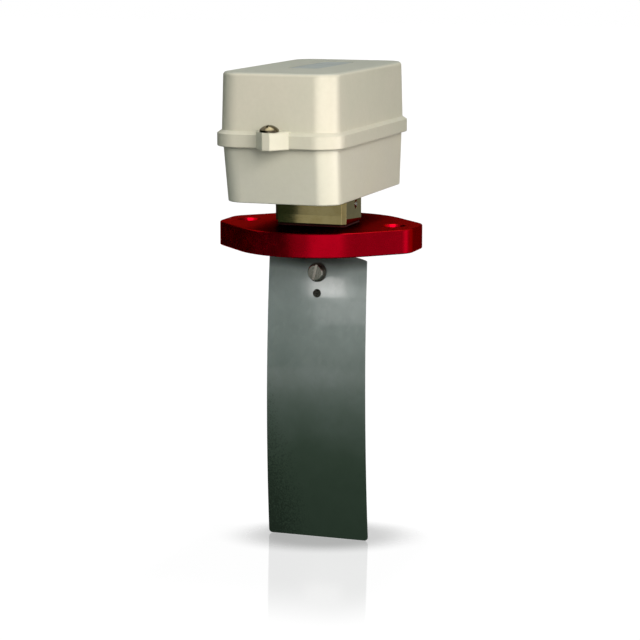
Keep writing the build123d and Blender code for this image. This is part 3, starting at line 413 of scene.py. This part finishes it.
def rolled_sheet(name, look, top, foot):
    """Rolled steel sheet with fine lines along its length. It mottles toward its foot, most on the left, and
    darkens toward its foot as a painted dark reflection; the dark middle of its upper end, under the
    flange, is painted shade."""
    high, low = look.sheet_high, look.sheet_low_painted_dark
    spotted, shaded = tone(34, 46, 34), tone(20, 34, 24)
    shade_low, shade_high = -15.5 * MM, -6.0 * MM
    finish = Finish(name, high, roughness=0.38, metallic=0.72)
    spangle = finish.nodes.new("ShaderNodeSeparateColor")
    finish.feed(spangle.inputs["Color"], finish.cells(2.2 * MM, finish.stretched(z=0.7))["Color"])
    speckle = finish.noise(0.9 * MM, 3)
    reach = finish.between(finish.along("Z"), foot, top, to=(1.0, 0.0))
    drift = finish.between(finish.noise(26 * MM, 3), 0.3, 0.7, to=(-0.05, 0.05))
    reach = finish.math("ADD", reach, drift)
    # Darker toward the foot: painted dark reflection
    tint = finish.blend(finish.between(reach, 0.05, 0.78, smooth=True), high, low)
    tint = finish.blend(finish.between(spangle.outputs["Red"], 0.0, 1.0, to=(0.0, 0.08)), tint, low)
    left = finish.between(finish.along("X"), -30 * MM, 5 * MM, to=(1.0, 0.25))
    spots = finish.product(finish.product(speckle, reach), left)
    tint = finish.blend(finish.between(spots, 0.24, 0.42, to=(0.0, 0.55)), tint, spotted)
    # Dark band in the middle of the upper end, under the flange: painted shade
    below = finish.between(finish.along("Z"), shade_low, shade_high, to=(1.0, 0.0), smooth=True)
    beside = finish.between(finish.math("ABSOLUTE", finish.along("X")), 8 * MM, 27 * MM, to=(0.0, 0.35))
    tint = finish.blend(finish.math("ADD", below, beside), shaded, tint)
    lines = finish.noise(0.5 * MM, 2, finish.stretched(z=0.02))
    normal = finish.relief(lines, 0.006 * MM, 0.35)
    normal = finish.relief(speckle, 0.012 * MM, 0.4, normal)
    gloss = finish.between(spangle.outputs["Green"], 0.0, 1.0, to=(0.32, 0.44))
    finish.set(Base_Color=tint, Roughness=gloss, Normal=normal, Coat_Weight=0.8, Coat_Roughness=0.065)
    return finish.material


def moulded(name, colour, shade, rough, edge=0.3 * MM):
    """Moulded plastic or rubber: fine spark texture and slightly uneven tone."""
    finish = Finish(name, colour, roughness=rough)
    cloud = finish.noise(7 * MM, 2)
    tint = finish.blend(finish.between(cloud, 0.3, 0.7), colour, shade)
    gloss = finish.between(cloud, 0.3, 0.7, to=(max(rough - 0.06, 0.05), rough + 0.06))
    normal = finish.relief(finish.noise(0.35 * MM, 3), 0.02 * MM, 0.45, finish.eased(edge))
    finish.set(Base_Color=tint, Roughness=gloss, Normal=normal)
    return finish.material


def blued(name):
    """Blued steel, brown in places, for the cover screws."""
    finish = Finish(name, tone(118, 111, 92), roughness=0.12, metallic=1.0)
    cloud = finish.noise(2.5 * MM, 3)
    tint = finish.blend(finish.between(cloud, 0.35, 0.7), tone(124, 116, 94), tone(88, 80, 62))
    gloss = finish.between(cloud, 0.3, 0.7, to=(0.14, 0.24))
    normal = finish.relief(finish.noise(0.4 * MM, 2), 0.004 * MM, 0.3, finish.eased(0.25 * MM))
    finish.set(Base_Color=tint, Roughness=gloss, Normal=normal)
    return finish.material


def dress(material, *nodes):
    """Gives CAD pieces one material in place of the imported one."""
    for node in nodes:
        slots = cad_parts[node].data.materials
        slots.clear()
        slots.append(material)


def grid_faces(rows, columns, around=False, closed=False):
    """Quads over a grid of points: between each row and the next, around each row if it wraps, and from
    the last row to the first if the grid is closed."""
    row, column = np.meshgrid(np.arange(rows if closed else rows - 1),
                              np.arange(columns if around else columns - 1), indexing="ij")
    after, above = (column + 1) % columns, (row + 1) % rows
    corners = (row * columns + column, row * columns + after,
               above * columns + after, above * columns + column)
    return np.stack([c.ravel() for c in corners], axis=1)


def pole_faces(first, columns, pole, flip):
    """Triangles from one row of a grid to a single pole point."""
    column = np.arange(columns)
    after = (column + 1) % columns
    pair = (after, column) if flip else (column, after)
    return np.stack([first + pair[0], first + pair[1], np.full(columns, pole)], axis=1)


def closed_shell(rows, first_pole, last_pole):
    """Points and faces of a surface over rows that wrap around, shut by a pole at each end."""
    count, columns = rows.shape[:2]
    points = np.vstack([rows.reshape(-1, 3), first_pole, last_pole])
    start = count * columns
    return points, [grid_faces(count, columns, around=True), pole_faces(0, columns, start, True),
                    pole_faces(start - columns, columns, start + 1, False)]


def ring_shell(rows):
    """Points and faces of a ring: rows that wrap around, the last one joined to the first."""
    return rows.reshape(-1, 3), [grid_faces(*rows.shape[:2], around=True, closed=True)]


def piece_from(name, shells, material, body=None):
    """Object of one or more shells. It takes a slot's finish, and rides on a body if one is named."""
    points, faces, start = [], [], 0
    for shell_points, groups in shells:
        points.append(shell_points)
        for group in groups:
            faces += (group + start).tolist()
        start += len(shell_points)
    mesh = bpy.data.meshes.new(name)
    mesh.from_pydata(np.vstack(points).tolist(), [], faces)
    mesh.polygons.foreach_set("use_smooth", np.full(len(mesh.polygons), True))
    mesh.materials.append(material)
    mesh.update()
    piece = bpy.data.objects.new(name, mesh)
    bpy.context.scene.collection.objects.link(piece)
    if body:
        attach(piece, body)
    return piece


def superellipse(angle, half_x, half_y, power):
    """Point on a rounded rectangle: each half size times a signed power of the cosine and sine."""
    c, s = np.cos(angle), np.sin(angle)
    x = half_x * np.sign(c) * np.abs(c) ** (2 / power)
    y = half_y * np.sign(s) * np.abs(s) ** (2 / power)
    return x, y


def turned_to_y(points):
    """Points of a form about the Z axis laid over so that its axis runs along Y."""
    return np.stack([points[..., 0], points[..., 2], -points[..., 1]], axis=-1)


def torus_rows(radius, wire, across, along):
    """Ring about Z: radius plus wire times the cosine of a small turn, carried round a large turn."""
    small = np.linspace(0, tau, across, endpoint=False)[:, None]
    large = np.linspace(0, tau, along, endpoint=False)[None, :]
    r = radius + wire * np.cos(small)
    z = np.broadcast_to(wire * np.sin(small), (across, along))
    return np.stack([r * np.cos(large), r * np.sin(large), z], axis=2)


def thread_rows(crest, depth, pitch, start, end, around):
    """Screw thread about Z: the radius falls from crest by depth times a triangle wave of height over
    pitch less angle over a turn, and the thread runs out over half a pitch at both ends."""
    height = np.linspace(start, end, int((end - start) / pitch * THREAD_ROWS) + 2)[:, None]
    angle = np.linspace(0, tau, around, endpoint=False)[None, :]
    phase = (height / pitch - angle / tau) % 1
    fade = np.clip(np.minimum(height - start, end - height) / (0.5 * pitch), 0, 1)
    r = crest - depth * (1 - fade * (1 - np.abs(2 * phase - 1)))
    return np.stack([r * np.cos(angle), r * np.sin(angle), np.broadcast_to(height, r.shape)], axis=2)


def wire_rows(radius, wire, pitch, start, end, angle):
    """Wire wound about Z: the centre line is radius from the axis and climbs pitch a turn from an angle,
    and each row is a circle of the wire's radius square to it. Gives the rows and the line's two ends."""
    turns = (end - start) / pitch
    share = np.linspace(0, 1, int(turns * WIRE_ROWS) + 2)[:, None]
    a = angle + share * turns * tau
    nothing = np.zeros_like(a)
    out = np.stack([np.cos(a), np.sin(a), nothing], axis=2)
    ahead = np.stack([-radius * np.sin(a), radius * np.cos(a), np.full_like(a, pitch / tau)], axis=2)
    ahead /= np.linalg.norm(ahead, axis=2, keepdims=True)
    lift = np.cross(ahead, out)
    centre = out * radius + np.stack([nothing, nothing, start + share * (end - start)], axis=2)
    small = np.linspace(0, tau, WIRE_POINTS, endpoint=False)[None, :, None]
    rows = centre + wire * (np.cos(small) * out + np.sin(small) * lift)
    return rows, centre[0], centre[-1]


def lid_plate(material, form):
    """Bare plate in the lid's recess. Rows draw a rounded rectangle inward over an eased edge and across
    the top: outline = superellipse(angle) drawn in by each row's inset, height = the row's height."""
    half = np.array(RECESS_HALF) - form.plate_gap
    centre = np.array(RECESS_MIDDLE)
    recess_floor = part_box("housing_cover")[1].z - RECESS_DEEP
    angle = np.linspace(0, tau, LID_POINTS, endpoint=False)
    x, y = superellipse(angle, half[0], half[1], power=9.0)
    shares = np.array([0.97, 0.995, 1.0, 1.0, 0.995, 0.98, 0.6])
    heights = np.array([0.0, 0.0, 0.15, 0.75, 0.93, 1.0, 1.0]) * form.plate_thick + recess_floor
    inset = (1 - shares)[:, None] * half[0]
    rows = np.stack([centre[0] + np.sign(x) * np.maximum(np.abs(x) - inset, 0),
                     centre[1] + np.sign(y) * np.maximum(np.abs(y) - inset, 0),
                     np.broadcast_to(heights[:, None], (len(shares), len(angle)))], axis=2)
    shell = closed_shell(rows, [[*centre, heights[0]]], [[*centre, heights[-1]]])
    return piece_from("lid_plate", [shell], material, "cover")


def threaded_range_bolt(material, form):
    """Eye bolt that holds the spring: a ring about Y, and a shank about Z with its thread. The thread
    stands in for the plain shank of the solid, so that its grooves show."""
    low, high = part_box("range_bolt")
    centre = (low + high) / 2
    eye_radius = (high.x - low.x) / 2 - form.eye_wire
    eye_z = low.z + eye_radius + form.eye_wire
    eye = turned_to_y(torus_rows(eye_radius, form.eye_wire, EYE_POINTS, form.around))
    eye += [centre.x, centre.y, eye_z]
    start = eye_z + eye_radius
    thread = thread_rows(form.range_radius, form.range_depth, form.range_pitch, start, high.z, form.around)
    thread += [centre.x, centre.y, 0]
    shank = closed_shell(thread, [[centre.x, centre.y, start]], [[centre.x, centre.y, high.z]])
    shells = [ring_shell(eye), shank]
    piece = piece_from("range_bolt_threaded", shells, material, "spring_holder")
    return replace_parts(piece, "range_bolt")


def spring_halves(material, form):
    """Range spring between the lever's hole and the eye, in two halves that meet at its middle: each is
    a wound wire and a ring about X for its hook."""
    low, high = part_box("range_spring")
    centre, wire = (low + high) / 2, form.spring_wire
    axis = [centre.x, centre.y, 0]
    radius = (high.x - low.x) / 2 - wire
    hooks = low.z + radius + wire, high.z - radius - wire
    start, end = hooks[0] + form.spring_lead, hooks[1] - form.spring_lead
    pitch = (end - start) / form.spring_turns
    first_angle = tau / 4
    middle_angle = first_angle + form.spring_turns * tau / 2
    ring = torus_rows(radius, wire, WIRE_POINTS, form.around)[..., [2, 0, 1]]
    halves = (
        ("range_spring_lower", "pendulum", "housing", hooks[0], (start, centre.z), first_angle,
         (hooks[0] + radius, centre.z)),
        ("range_spring_upper", "housing", "spring_holder", hooks[1], (centre.z, end), middle_angle,
         (centre.z, hooks[1] - radius)),
    )
    for name, below, above, hook, wound, angle, bend in halves:
        rows, first, last = wire_rows(radius, wire, pitch, *wound, angle)
        coil = closed_shell(rows + axis, first + axis, last + axis)
        hook_ring = ring_shell(ring + [centre.x, centre.y, hook])
        piece = piece_from(name, [hook_ring, coil], material)
        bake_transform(piece)
        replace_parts(piece, "range_spring")


def gland_thread(material, form):
    """Thread on the gland's inner end, past the locknut: a thread's rows about Y, closed to a ring by a
    plain inner row at each end."""
    from_end, under_nut = 0.1 * MM, 0.4 * MM
    body_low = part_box("gland_body")[0]
    nut_low, nut_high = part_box("gland_locknut")
    middle = (nut_low + nut_high) / 2
    crest = GLAND_RADIUS + form.gland_proud
    start, end = body_low.y + from_end, nut_low.y + under_nut
    outer = thread_rows(crest, form.gland_depth, form.gland_pitch, start, end, form.around)
    inner = np.array([form.gland_core / crest, form.gland_core / crest, 1.0])
    rows = np.concatenate([outer[:1] * inner, outer, outer[-1:] * inner])
    rows = turned_to_y(rows) + [middle.x, 0, middle.z]
    return piece_from("gland_thread_end", [ring_shell(rows)], material, "housing")


def lead_sleeves(material, form):
    """Sleeve over each joint of blade and lead: a superellipse that goes from the blade's size to the
    lead's as a smooth step of the height, drawn in at both ends, and from blunt corners to a circle."""
    low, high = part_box("switch_terminals")
    middle = (low.x + high.x) / 2
    blade_half = np.array([(high.x - low.x) / 2, BLADE_HALF])
    lead_half = np.full(2, form.lead_radius)
    share = np.array([0.0, 0.02, 0.1, 0.3, 0.45, 0.6, 0.75, 0.9, 0.98, 1.0])[:, None]
    taper_from, taper_span = 0.4, 0.35
    step = np.clip((share - taper_from) / taper_span, 0, 1)
    step = step * step * (3 - 2 * step)
    half = blade_half * (1 - step) + lead_half * step + form.sleeve_wall
    half = half - np.where((share == 0) | (share == 1), 0.25 * form.sleeve_wall, 0)
    angle = np.linspace(0, tau, form.around, endpoint=False)[None, :]
    x, y = superellipse(angle, half[:, :1], half[:, 1:], power=4.0 - 2.0 * step)
    bottom, top = high.z - form.sleeve_down, high.z + form.sleeve_up
    z = np.broadcast_to(bottom + (top - bottom) * share, x.shape)
    shells = []
    for place in np.linspace(low.y + BLADE_HALF, high.y - BLADE_HALF, BLADE_COUNT):
        rows = np.stack([x + middle, y + place, z], axis=2)
        shells.append(closed_shell(rows, [[middle, place, bottom]], [[middle, place, top]]))
    return piece_from("lead_sleeves", shells, material, "housing")


class FLOWSWITCH_OT_stage(Operator):
    """Floor, light and camera at the photograph's angle"""
    bl_idname = "flowswitch.stage"
    bl_label = "Studio"

    def execute(self, context):
        studio = context.scene.flow_switch_studio
        context.scene.view_settings.view_transform = "Standard"
        make_world(context.scene, studio)
        floor = make_floor(studio)
        make_lights(studio, floor)
        make_cards(studio)
        make_camera(context.scene, studio)
        return {"FINISHED"}


def make_world(scene, studio):
    """Even light on matt surfaces; white where the camera, a gloss or a clear piece looks past the object."""
    world = bpy.data.worlds.new("Studio sky")
    scene.world = world
    world.use_nodes = True
    nodes, links = world.node_tree.nodes, world.node_tree.links
    even = nodes["Background"]
    even.inputs["Color"].default_value = (0.88, 1.0, 0.98, 1)
    even.inputs["Strength"].default_value = studio.sky
    white = nodes.new("ShaderNodeBackground")
    white.inputs["Color"].default_value = (1, 1, 1, 1)
    white.inputs["Strength"].default_value = 1.0
    path = nodes.new("ShaderNodeLightPath")
    share = path.outputs["Is Camera Ray"]
    for name in ("Is Glossy Ray", "Is Transmission Ray"):
        larger = nodes.new("ShaderNodeMath")
        larger.operation = "MAXIMUM"
        links.new(share, larger.inputs[0])
        links.new(path.outputs[name], larger.inputs[1])
        share = larger.outputs["Value"]
    mix = nodes.new("ShaderNodeMixShader")
    links.new(share, mix.inputs["Fac"])
    links.new(even.outputs[0], mix.inputs[1])
    links.new(white.outputs[0], mix.inputs[2])
    links.new(mix.outputs[0], nodes["World Output"].inputs["Surface"])


def stage_mesh(name, points, faces, material):
    """Object of the studio, which isn't part of the switch."""
    mesh = bpy.data.meshes.new(name)
    mesh.from_pydata(np.array(points).tolist(), [], np.array(faces).tolist())
    mesh.materials.append(material)
    piece = bpy.data.objects.new(name, mesh)
    bpy.context.scene.collection.objects.link(piece)
    return piece


def level_stage(name, half_x, half_y, z, material):
    """Level rectangle of the studio, centred over the object's origin."""
    corners = [(-half_x, -half_y, z), (half_x, -half_y, z), (half_x, half_y, z), (-half_x, half_y, z)]
    return stage_mesh(name, corners, [(0, 1, 2, 3)], material)


def make_floor(studio):
    """White floor. Near the foot it keeps the object's shadow and mirrors it faintly, and further out it
    is plain white. The metal sees it dark close to the foot, in the shade of the set."""
    # Spans in metres over which the shadow, the shade and the mirrored patch fade
    shadow_span, shade_span = (0.026, 0.063), (0.27, 0.62)
    front, back, side = (-0.185, -0.085), (0.0, 0.04), (0.05, 0.10)
    finish = Finish("Floor white", (0.15, 0.15, 0.15), roughness=0.6)
    finish.set(Specular_IOR_Level=0.0)
    white = finish.glow((1, 1, 1), 1.05)
    lit = finish.added(finish.surface.outputs[0], finish.glow((1, 1, 1), 0.47))
    patch = finish.away(FOOT, y=1.6, z=FLAT, turn=(0, 0, SHADE_TURN))
    near = finish.mixed(finish.between(patch, *shadow_span, smooth=True), lit, white)
    ahead = finish.between(finish.along("Y"), *front, to=(0.0, 0.235), smooth=True)
    behind = finish.between(finish.along("Y"), *back, to=(1.0, 0.0))
    beside = finish.between(finish.away(y=FLAT, z=FLAT), *side, to=(1.0, 0.0), smooth=True)
    share = finish.product(finish.product(ahead, behind), beside)
    seen = finish.mixed(share, near, finish.glossy(0.06))
    shaded = finish.between(finish.away(z=FLAT), *shade_span, smooth=True)
    shade = finish.mixed(shaded, finish.glow((0.75, 1.0, 0.80), 0.08), white)
    path = finish.nodes.new("ShaderNodeLightPath")
    bounced = finish.mixed(path.outputs["Is Glossy Ray"], finish.matt(0.08), shade)
    finish.show(finish.mixed(path.outputs["Is Camera Ray"], bounced, seen))
    return level_stage("studio_floor", 6.0, 6.0, -studio.floor_z, finish.material)


def around(azimuth, elevation, distance):
    """Place seen from the object: azimuth 0 is in front, 90 to the right."""
    a, e = radians(azimuth), radians(elevation)
    return Vector((sin(a) * cos(e), -cos(a) * cos(e), sin(e))) * distance


def area_light(name, place, aim, power, colour, size):
    """Rectangular lamp at a place, turned to an aim. Glossy surfaces don't mirror it."""
    light = bpy.data.lights.new(name, "AREA")
    light.shape = "RECTANGLE"
    light.size, light.size_y = size
    light.energy = power
    light.color = colour
    lamp = bpy.data.objects.new(name, light)
    lamp.location = place
    lamp.rotation_euler = (Vector(aim) - Vector(place)).to_track_quat("-Z", "Y").to_euler()
    lamp.visible_glossy = False
    bpy.context.scene.collection.objects.link(lamp)
    return lamp


def mirrored_lamp(name, place, aim, power, colour, size, node):
    """Lamp that one CAD piece alone mirrors."""
    lamp = area_light(name, place, aim, power, colour, size)
    lamp.visible_camera = lamp.visible_diffuse = False
    lamp.visible_glossy = True
    falls_on(lamp, "Mirrors the " + name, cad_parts[node])


def falls_on(lamp, name, item):
    """Limits a lamp to one object, and gives back that link."""
    group = bpy.data.collections.new(name)
    group.objects.link(item)
    lamp.light_linking.receiver_collection = group
    return group.collection_objects[0]


def make_lights(studio, floor):
    """Key, fill, side and top light for the object, a strip overhead for the floor's shadow, and lamps
    that the housing's corners and the paddle's upper end mirror."""
    aim, over = (0, 0, 0.03), around(0, 90, 1.0)
    area_light("key light", around(42, 24, 0.85), aim, studio.key, (1.0, 0.955, 0.94), (0.55, 0.4))
    area_light("fill light", around(-62, 12, 1.3), aim, studio.fill, (0.85, 1.0, 1.0), (0.8, 0.8))
    side = area_light("side light", around(100, 15, 1.3), aim, studio.side, (1.0, 0.68, 0.62), (0.4, 0.4))
    cover = falls_on(side, "Not lit by the side light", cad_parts["housing_cover"])
    cover.light_linking.link_state = "EXCLUDE"
    area_light("top light", over, (0, 0, 0), studio.top, (1.0, 1.0, 0.98), (0.2, 0.2))
    strip = area_light("table light", over, (0, 0, 0), studio.table, (1.0, 1.0, 1.0), (0.10, 0.6))
    falls_on(strip, "Lit by the table light", floor)
    middle, corner_distance = Vector((0, 0, -0.014)), 0.34
    for azimuth in (19, 55, 91):
        for node, share in (("housing_base", 1.0), ("housing_cover", 0.7)):
            place = around(azimuth, 0, corner_distance) + middle
            mirrored_lamp(f"{node} corner light {azimuth}", place, middle, share * studio.corner,
                          (1.0, 0.93, 0.80), (0.21, 0.288), node)
    paddle_end = (0.006, -0.007, -0.025)
    mirrored_lamp("paddle light", (-0.190, -0.574, -0.025), paddle_end, studio.glint,
                  (1.0, 0.97, 0.95), (0.03, 0.03), "paddle")
    mirrored_lamp("paddle wide light", (-0.160, -0.582, -0.052), paddle_end, studio.glint,
                  (1.0, 0.98, 0.97), (0.08, 0.06), "paddle")


def glowing_card(name, colour, strength):
    """Glow with a slow drift of tone, a fifth to each side of its strength."""
    finish = Finish(name, colour, roughness=1.0)
    drift = finish.between(finish.noise(90 * MM, 2), 0.3, 0.7, to=(0.8 * strength, 1.2 * strength))
    finish.show(finish.glow(colour, drift))
    return finish.material


def only_mirrored(card):
    """Leaves a card to glossy surfaces alone."""
    card.visible_camera = card.visible_diffuse = card.visible_shadow = False


def bent_card(name, start, end, low, high, colour, strength):
    """Upright card bent round the set: x = distance sin a, y = -distance cos a for azimuths a from
    start to end, between two heights."""
    azimuth = np.radians(np.linspace(start, end, 2 + int((end - start) / CARD_STEP)))
    ring = np.stack([np.sin(azimuth), -np.cos(azimuth)], axis=1) * CARD_DISTANCE
    points = np.vstack([np.column_stack([ring, np.full(len(ring), z)]) for z in (low, high)])
    faces = grid_faces(2, len(ring))
    only_mirrored(stage_mesh(name, points, faces, glowing_card(name + " glow", colour, strength)))


def make_cards(studio):
    """Cards round the set, which the metal mirrors: dark to the left, lighter to the front and right,
    and a bright one overhead. Each row gives a card's azimuths, heights, colour and strength."""
    floor = -studio.floor_z + 0.4 * MM
    for card in (
        ("card_edge_left", -142, -124, floor, 0.45, (1.0, 0.85, 0.80), 0.25),
        ("card_far_left", -124, -100, floor, 0.45, (1.0, 0.85, 0.80), 0.02),
        ("card_left", -100, -20, floor, 0.45, (0.65, 1.0, 0.60), 0.035),
        ("card_front", -20, 5, floor, 0.05, (1.0, 0.98, 0.90), 0.36),
        ("card_front_high", -20, 1, 0.05, 1.0, (0.9, 1.0, 0.8), 0.05),
        ("card_key", 5, 48, floor, -0.005, (1.0, 0.92, 0.88), 0.95),
        ("card_right", 48, 84, floor, 0.12, (1.0, 0.93, 0.86), 0.43),
        ("card_patch", 84, 104, floor, 0.12, (1.0, 0.92, 0.88), 1.2),
        ("card_far_right", 104, 145, floor, 0.12, (1.0, 0.92, 0.88), 0.45),
        ("card_side", 145, 178, floor, 0.45, (1.0, 1.0, 0.88), 0.17),
        ("card_high", 1, 100, 0.135, 1.0, (0.90, 1.0, 0.80), 0.18),
        ("card_back_low", 182, 218, floor, -0.035, (0.85, 1.0, 0.90), 0.20),
        ("card_back_high", 180, 218, 0.115, 0.45, (0.95, 1.0, 0.90), 0.25),
    ):
        bent_card(*card)
    overhead = glowing_card("card_over glow", (1.0, 0.98, 0.90), 4.0)
    only_mirrored(level_stage("card_over", 0.45, 0.40, 1.02, overhead))


def make_camera(scene, studio):
    """Camera at the photograph's viewing angle."""
    data = bpy.data.cameras.new("camera")
    data.lens = studio.lens
    data.sensor_width = FRAME_WIDTH
    camera = bpy.data.objects.new("camera", data)
    place, aim = Vector(studio.camera_place), Vector(studio.camera_aim)
    camera.location = place
    camera.rotation_euler = (aim - place).to_track_quat("-Z", "Y").to_euler()
    scene.collection.objects.link(camera)
    scene.camera = camera


class FLOWSWITCH_OT_housing(Operator):
    """Painted base and cover, their gaskets and screws, and the bare plate on the lid"""
    bl_idname = "flowswitch.housing"
    bl_label = "Housing"

    def execute(self, context):
        look = context.scene.flow_switch_finishes
        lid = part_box("housing_cover")[1].z
        shades = look.paint_shade, look.paint_lid_top_shade, lid
        dress(enamel("Cover enamel", look.paint, *shades), "housing_cover")
        # The base takes a darker copy of the cover's enamel: painted shade
        dress(enamel("Base enamel with painted shade", look.paint_base_shaded, *shades), "housing_base")
        dress(blued("Cover screw blued"), "cover_screws")
        rubber = moulded("Gasket rubber", tone(30, 30, 28), tone(22, 22, 20), rough=0.7)
        dress(rubber, "cover_gasket", "neck_gasket")
        plate = moulded("Lid plate matt", tone(160, 165, 163), tone(150, 156, 154), rough=0.75, edge=0.1 * MM)
        lid_plate(plate, context.scene.flow_switch_form)
        return {"FINISHED"}


class FLOWSWITCH_OT_flange(Operator):
    """Red anodised flange, its gasket and the plated neck"""
    bl_idname = "flowswitch.flange"
    bl_label = "Flange and neck"

    def execute(self, context):
        look = context.scene.flow_switch_finishes
        dress(anodised("Flange red anodised", look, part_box("mounting_flange")[1].z), "mounting_flange")
        dress(moulded("Fibre gasket", tone(52, 6, 6), tone(40, 4, 4), rough=0.8), "flange_gasket")
        nickel = plated("Neck nickel plate", look.nickel, look.nickel_worn, rough=0.05, edge=0.3 * MM,
                        grain=look.metal_grain, wear=0.5, rub=look.copper, foot=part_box("pivot_body")[0].z)
        dress(nickel, "pivot_body")
        return {"FINISHED"}


class FLOWSWITCH_OT_paddle(Operator):
    """Steel paddle, its washer and pin, and the brass of the arm and the setting nut"""
    bl_idname = "flowswitch.paddle"
    bl_label = "Paddle"

    def execute(self, context):
        look = context.scene.flow_switch_finishes
        low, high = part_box("paddle")
        dress(rolled_sheet("Paddle rolled sheet", look, high.z, low.z), "paddle")
        dark = plated("Washer dark steel", tone(92, 92, 86), tone(58, 58, 52), rough=0.34)
        dress(dark, "paddle_washer", "paddle_pin")
        turned = plated("Arm turned brass", tone(200, 170, 110), tone(160, 126, 70), rough=0.28, wear=0.5)
        dress(turned, "pendulum_arm", "adjusting_nut")
        return {"FINISHED"}


class FLOWSWITCH_OT_fixings(Operator):
    """Bright screws, nuts, axle, eye bolt and spring"""
    bl_idname = "flowswitch.fixings"
    bl_label = "Fixings"

    def execute(self, context):
        form = context.scene.flow_switch_form
        bright = plated("Screw zinc plate", tone(196, 196, 190), tone(150, 148, 138), rough=0.22, wear=0.5,
                        edge=0.2 * MM)
        dress(bright, "paddle_screw", "flange_screws", "neck_screws", "lever_screws", "bracket_screws",
              "switch_screws", "switch_nuts", "terminal_screws", "block_screws", "earth_screw", "pivot_axle")
        threaded_range_bolt(bright, form)
        spring = plated("Spring wire", tone(150, 150, 146), tone(110, 110, 104), rough=0.3, grain=0.2 * MM,
                        wear=0.4)
        spring_halves(spring, form)
        return {"FINISHED"}


class FLOWSWITCH_OT_works(Operator):
    """Lever, bracket, microswitch, terminals and leads"""
    bl_idname = "flowswitch.works"
    bl_label = "Inner works"

    def execute(self, context):
        sheet = plated("Bracket zinc plate", tone(178, 178, 172), tone(140, 140, 132), rough=0.36,
                       grain=0.5 * MM, wear=0.5)
        dress(sheet, "switch_bracket", "switch_lever")
        dress(moulded("Switch black", tone(36, 36, 38), tone(28, 28, 30), rough=0.45), "microswitch")
        dress(moulded("Plunger red", tone(170, 30, 24), tone(140, 22, 18), rough=0.35), "switch_plunger")
        blade = plated("Contact brass", tone(214, 184, 118), tone(180, 146, 84), rough=0.25, wear=0.4)
        dress(blade, "switch_terminals", "terminal_clamps", "earth_washer")
        dress(moulded("Terminal grey", tone(150, 152, 150), tone(136, 138, 136), rough=0.5), "terminal_block")
        dress(moulded("Lead blue", tone(34, 70, 130), tone(28, 60, 112), rough=0.4), "switch_leads")
        sleeve = moulded("Sleeve black", tone(32, 32, 34), tone(24, 24, 26), rough=0.5, edge=0.1 * MM)
        lead_sleeves(sleeve, context.scene.flow_switch_form)
        return {"FINISHED"}


class FLOWSWITCH_OT_gland(Operator):
    """Cable gland on the back of the housing"""
    bl_idname = "flowswitch.gland"
    bl_label = "Cable gland"

    def execute(self, context):
        plastic = moulded("Gland grey", tone(70, 72, 74), tone(58, 60, 62), rough=0.42)
        dress(plastic, "gland_body", "gland_nut", "gland_locknut")
        gland_thread(plastic, context.scene.flow_switch_form)
        dress(moulded("Seal rubber", tone(26, 26, 26), tone(18, 18, 18), rough=0.65), "gland_seal")
        return {"FINISHED"}


class FLOWSWITCH_PT_panel(Panel):
    """Lists the pieces and the studio"""
    bl_idname = "FLOWSWITCH_PT_panel"
    bl_label = "Air flow switch"
    bl_space_type = "VIEW_3D"
    bl_region_type = "UI"
    bl_category = "Flow switch"

    def draw(self, context):
        for step in STEPS:
            self.layout.operator(step.bl_idname)
        scene = context.scene
        for group in (scene.flow_switch_finishes, scene.flow_switch_form, scene.flow_switch_studio):
            box = self.layout.box()
            for name in group.__annotations__:
                box.prop(group, name)


STEPS = (FLOWSWITCH_OT_stage, FLOWSWITCH_OT_housing, FLOWSWITCH_OT_flange, FLOWSWITCH_OT_paddle,
         FLOWSWITCH_OT_fixings, FLOWSWITCH_OT_works, FLOWSWITCH_OT_gland)
CLASSES = (FlowSwitchFinishes, FlowSwitchForm, FlowSwitchStudio, *STEPS, FLOWSWITCH_PT_panel)


def register():
    """Registers the classes and hangs their settings on the scene."""
    for item in CLASSES:
        bpy.utils.register_class(item)
    bpy.types.Scene.flow_switch_finishes = PointerProperty(type=FlowSwitchFinishes)
    bpy.types.Scene.flow_switch_form = PointerProperty(type=FlowSwitchForm)
    bpy.types.Scene.flow_switch_studio = PointerProperty(type=FlowSwitchStudio)


def unregister():
    """Takes the settings and classes away again."""
    for name in ("flow_switch_finishes", "flow_switch_form", "flow_switch_studio"):
        delattr(bpy.types.Scene, name)
    for item in reversed(CLASSES):
        bpy.utils.unregister_class(item)


def main():
    """Makes the studio and every piece."""
    register()
    for step in STEPS:
        group, name = step.bl_idname.split(".")
        getattr(getattr(bpy.ops, group), name)()


if __name__ == "__main__":
    main()
